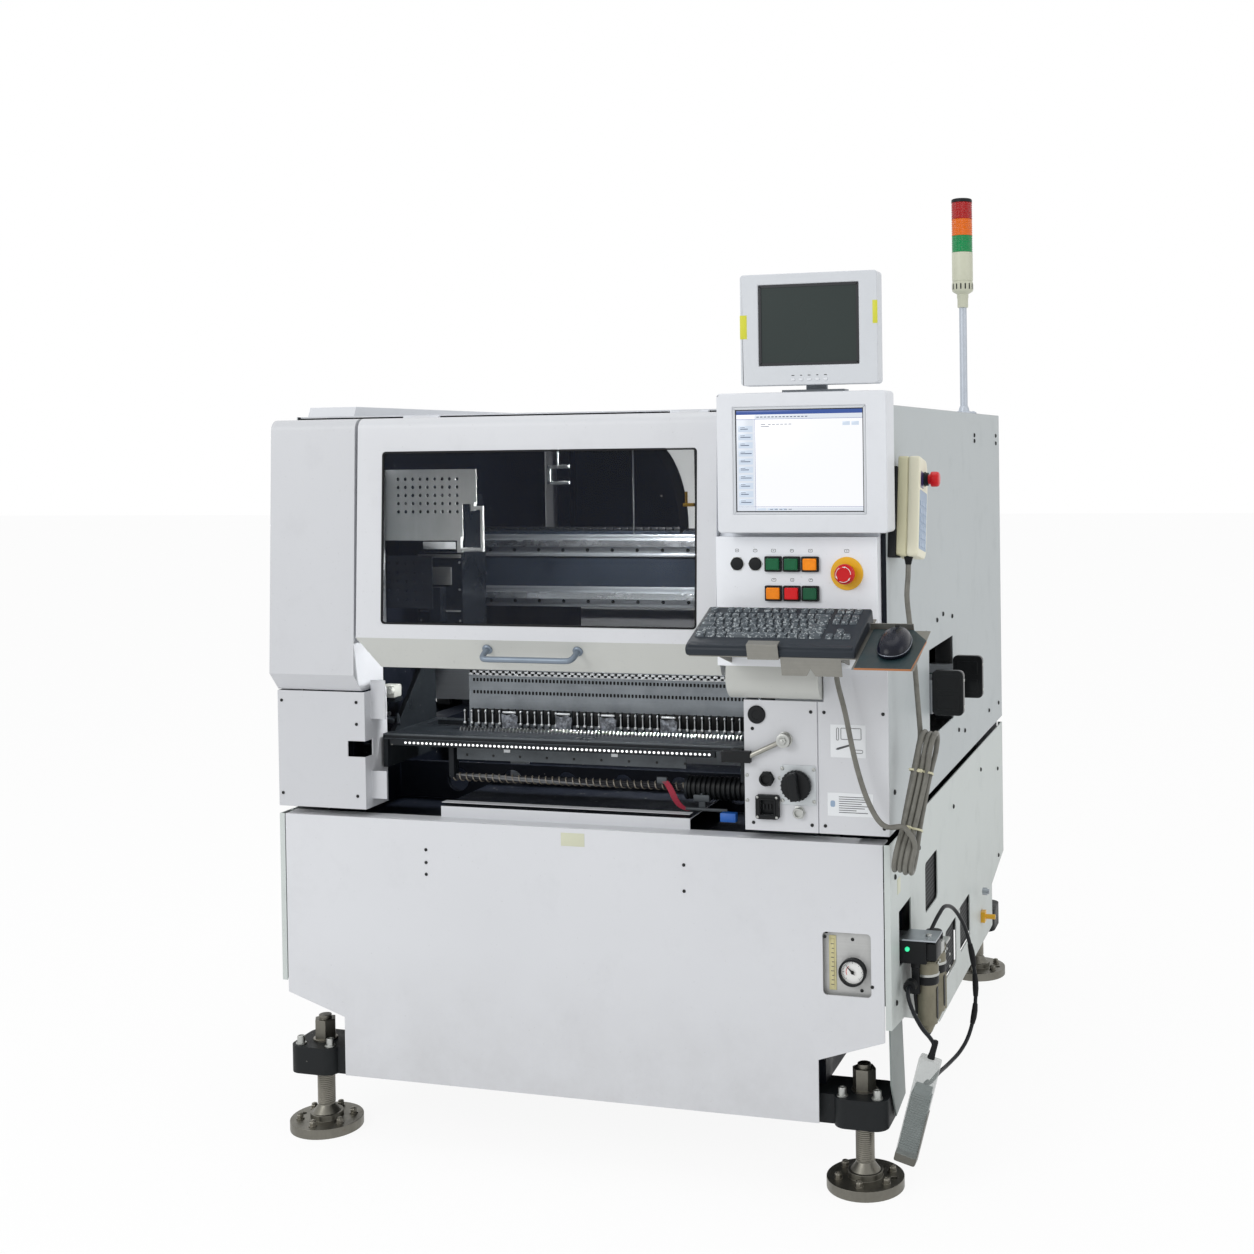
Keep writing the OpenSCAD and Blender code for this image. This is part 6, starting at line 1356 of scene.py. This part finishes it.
# Inside: gantry, head, nozzles, conveyor, guard sheets
alloy = metal("alloy_profile", "#a9aeb3", 0.3, along=(5, 600, 600), stain=0.15, metallic=0.85)
gantryDark = castPaint("gantry_paint", "#1d232b", 0.42)
railSteel = metal("rail_steel", "#d5dadf", 0.16, along=(4, 800, 800), stain=0.08)
dressed("gantry_beam", [gantryDark, railSteel], 1.0,
        pick=lambda c: int(-269 < c.y < -249 and (1080 < c.z < 1096 or 1198 < c.z < 1214)))
for low, high in ((1062, 1108), (1176, 1226)):
    skin = joined(box(-519, 519, -253.4, -250.2, low, high, 0.6),
                  box(-519, 519, -255.6, -253, high - 7, high, 0.8),
                  box(-519, 519, -255.6, -253, low, low + 7, 0.8))
    addPiece(f"rail_backing_{low}", skin, alloy, "gantry")
railScrews = repeated(screwHead(4.2, 2, "y", -1),
                      [(x, -253.2, z) for x in range(-500, 501, 60) for z in (1074.5, 1190.5)])
addPiece("rail_screws", railScrews, boltDark, "gantry")
chainLinks = repeated(box(-8, 8, -214, -190, 1231.6, 1240, 1.5), [(x, 0, 0) for x in range(-480, 481, 18)])
addPiece("cable_links", chainLinks, blackPlastic, "gantry")
headBlack = castPaint("head_paint", "#171b20", 0.38)
dressed("placement_head", headBlack, 1.5)
headTrims = joined(box(-493, -387, -385.6, -384.2, 1180, 1188, 0.3),
                   box(-490, -390, -386, -384.2, 1060, 1064, 0.3),
                   repeated(screwHead(3, 1.6, "y", -1),
                            [(x, -384, z) for x in (-488, -392) for z in (1040, 1110, 1170)]),
                   box(-470, -410, -386.4, -384.2, 1120, 1160, 1))
addPiece("head_trim", headTrims, zinc, "head")
addPiece("head_plate", box(-480, -400, -384.9, -384.1, 1200, 1216, 0.1), plainLabel, "head")
nozzleSteel = metal("nozzle_steel", "#bfc2c6", 0.24, along=(300, 300, 20), stain=0.1)
for n in range(4):
    dressed(f"nozzle_{n + 1}", nozzleSteel, 0.4)
capBlack = plastic("conveyor_cap", "#131517", 0.34, 1500, 0.12, coat=0.25)
dressed("conveyor_front_rail", alloy, 1.2)
dressed("conveyor_rear_rail", alloy, 1.2)
for title, faceY, body in (("front", -292, "frame"), ("rear", -44, "rear_track")):
    caps = [plate(roundRect(s * 687, 895, 66.8, 94.8, 10.4), faceY - 0.4, faceY + 16.4, "y", 1.2)
            for s in (-1, 1)]
    webs = [plate(roundRect(s * 687, 895 + dz, 46, 30, 4), faceY - 1.2, faceY - 0.2, "y", 0.5)
            for s in (-1, 1) for dz in (-20, 20)]
    addPiece(f"conveyor_caps_{title}", caps + webs, capBlack, body)
beltRubber = plastic("belt_rubber", "#1c3a34", 0.6, 600, 0.3)
for title, y, body in (("belt_front", -275.4, "frame"), ("belt_rear", -49.4, "rear_track")):
    addPiece(title, box(-650, 650, y, y + 4.8, 900.2, 901.6, 0.3), beltRubber, body)
for title, y, body in (("cap_screws", -284, "frame"), ("cap_screws_rear", -36, "rear_track")):
    capScrews = [repeated(screwHead(3.4, 2, "x", s), [(s * 720, y, z) for z in (866, 922)]) for s in (-1, 1)]
    addPiece(title, capScrews, zinc, body)
stainless = metal("stainless_sheet", "#eef1ef", 0.34, along=(300, 300, 6), stain=0.16, metallic=0.35)
darkSheet = metal("dark_sheet", "#1c2228", 0.45, stain=0.3, metallic=0.5)
dressed("perforated_guard", [stainless, darkSheet], 0.25, pick=lambda c: int(c.z < 1205 and c.x < -330))
print("inside finished")


# Seen through the door: pale shield behind a black arc, glowing with painted light, bent bracket, upright lead
# the shield is no lamp: its glow is painted light
shieldPaintedGlow = Finish("inner_shield", roughness=0.5)
shieldPaintedGlow.set(baseColor=shieldPaintedGlow.blend(shieldPaintedGlow.noise(14, 4), tone("#d9dcdc"), tone("#f2f3f1")),
               emissionColor=tone("#e9ecec"), emissionStrength=0.9)
curve = np.linspace(0, 0.5 * math.pi, 14)
arc = np.c_[128 + 88 * np.sin(curve), 1438 - 180 * (1 - np.cos(curve))]
shieldShape = plate(np.vstack([arc, [[216, 1256], [232, 1256], [232, 1438]]]), -572, -570, "y")
addPiece("inner_shield", shieldShape, shieldPaintedGlow)
arcBand = plate(np.vstack([arc, (arc - [18, 14])[::-1]]), -576, -568, "y", 1)
addPiece("inner_arc", arcBand, blackPlastic)
carry = joined(box(108, 236, -574, -566, 1438, 1446, 1), box(230, 238, -574, -566, 1250, 1446, 1),
               box(222, 238, -606, -566, 1440, 1456, 1))
addPiece("shield_frame", carry, frameBlackAndShade)
brassShapes = [box(206, 230, -578, -572, 1300, 1307, 1), rod((212, -574, 1305), (212, -574, 1330), 3, 12)]
addPiece("inner_brass", brassShapes, metal("brass_fitting", "#c09a3e", 0.3))
paleEdge = metal("inner_bracket", "#aab0b2", 0.35, metallic=0.5)
bracketShape = joined(box(-92, -42, -573, -569, 1379, 1386, 1), box(-92, -84, -573, -569, 1346, 1386, 1),
                      box(-92, -42, -573, -569, 1346, 1353, 1), box(-70, -66, -573, -569, 1384, 1442, 0.5),
                      box(-92, 110, -574, -568, 1440, 1445, 1))
addPiece("inner_bracket", bracketShape, paleEdge)
addPiece("upright_lead", rod((98, -571, 1245), (98, -571, 1442), 1.5, 8), paleEdge)

# Eye of the link: stud, washer and nut; small lugs beside the lower fittings
eyeParts = joined(turned([(13.2, -716.2), (13.2, -718), (11.5, -718.6), (8.4, -718.6)],
                         (449, 0, 861), "y", 32),
                  turned([(7.6, -718.4), (7.6, -722), (6.6, -723), (3.2, -723), (3, -724.6), (2, -725)],
                         (449, 0, 861), "y", 6),
                  turned([(15, -700.1), (15, -702), (13.4, -703)], (449, 0, 861), "y", 28))
addPiece("link_eye", eyeParts, zinc)
lugPlaces = [(372, -700, 790), (437, -700, 787), (372, -700, 742), (437, -700, 742), (505, -702, 806),
             (443, -702, 806), (505, -702, 745), (443, -702, 745)]
addPiece("fitting_screws", repeated(screwHead(3.6, 2, "y", -1), lugPlaces), zinc)

# Plain pictogram plates: an outline of the machine and two tools, ruled lines without words
pictures = [band(roundRect(578, 876, 40, 22, 2), 1, -700.9, -700.4, "y"),
            band(roundRect(552, 875, 5, 24, 2.4), 0.9, -700.9, -700.4, "y"),
            band(roundRect(590, 843, 22, 7, 3.4), 0.9, -700.9, -700.4, "y"),
            plate([(548, 846), (551, 849), (574, 856), (576, 853), (552, 845)], -700.9, -700.4, "y")]
ruled = [(553, 553 + w, 756 - 4.2 * k, 757.2 - 4.2 * k)
         for k, w in enumerate((58, 52, 60, 44, 58, 50, 34, 56))]
addPiece("plate_lines", pictures + [tagged(ruled, -700.9, -700.4)], labelInk)
addPiece("plate_sign", plate(roundRect(541, 743, 9, 12, 3), -700.9, -700.4, "y", 0.1), padBlue)
print("inner parts finished")
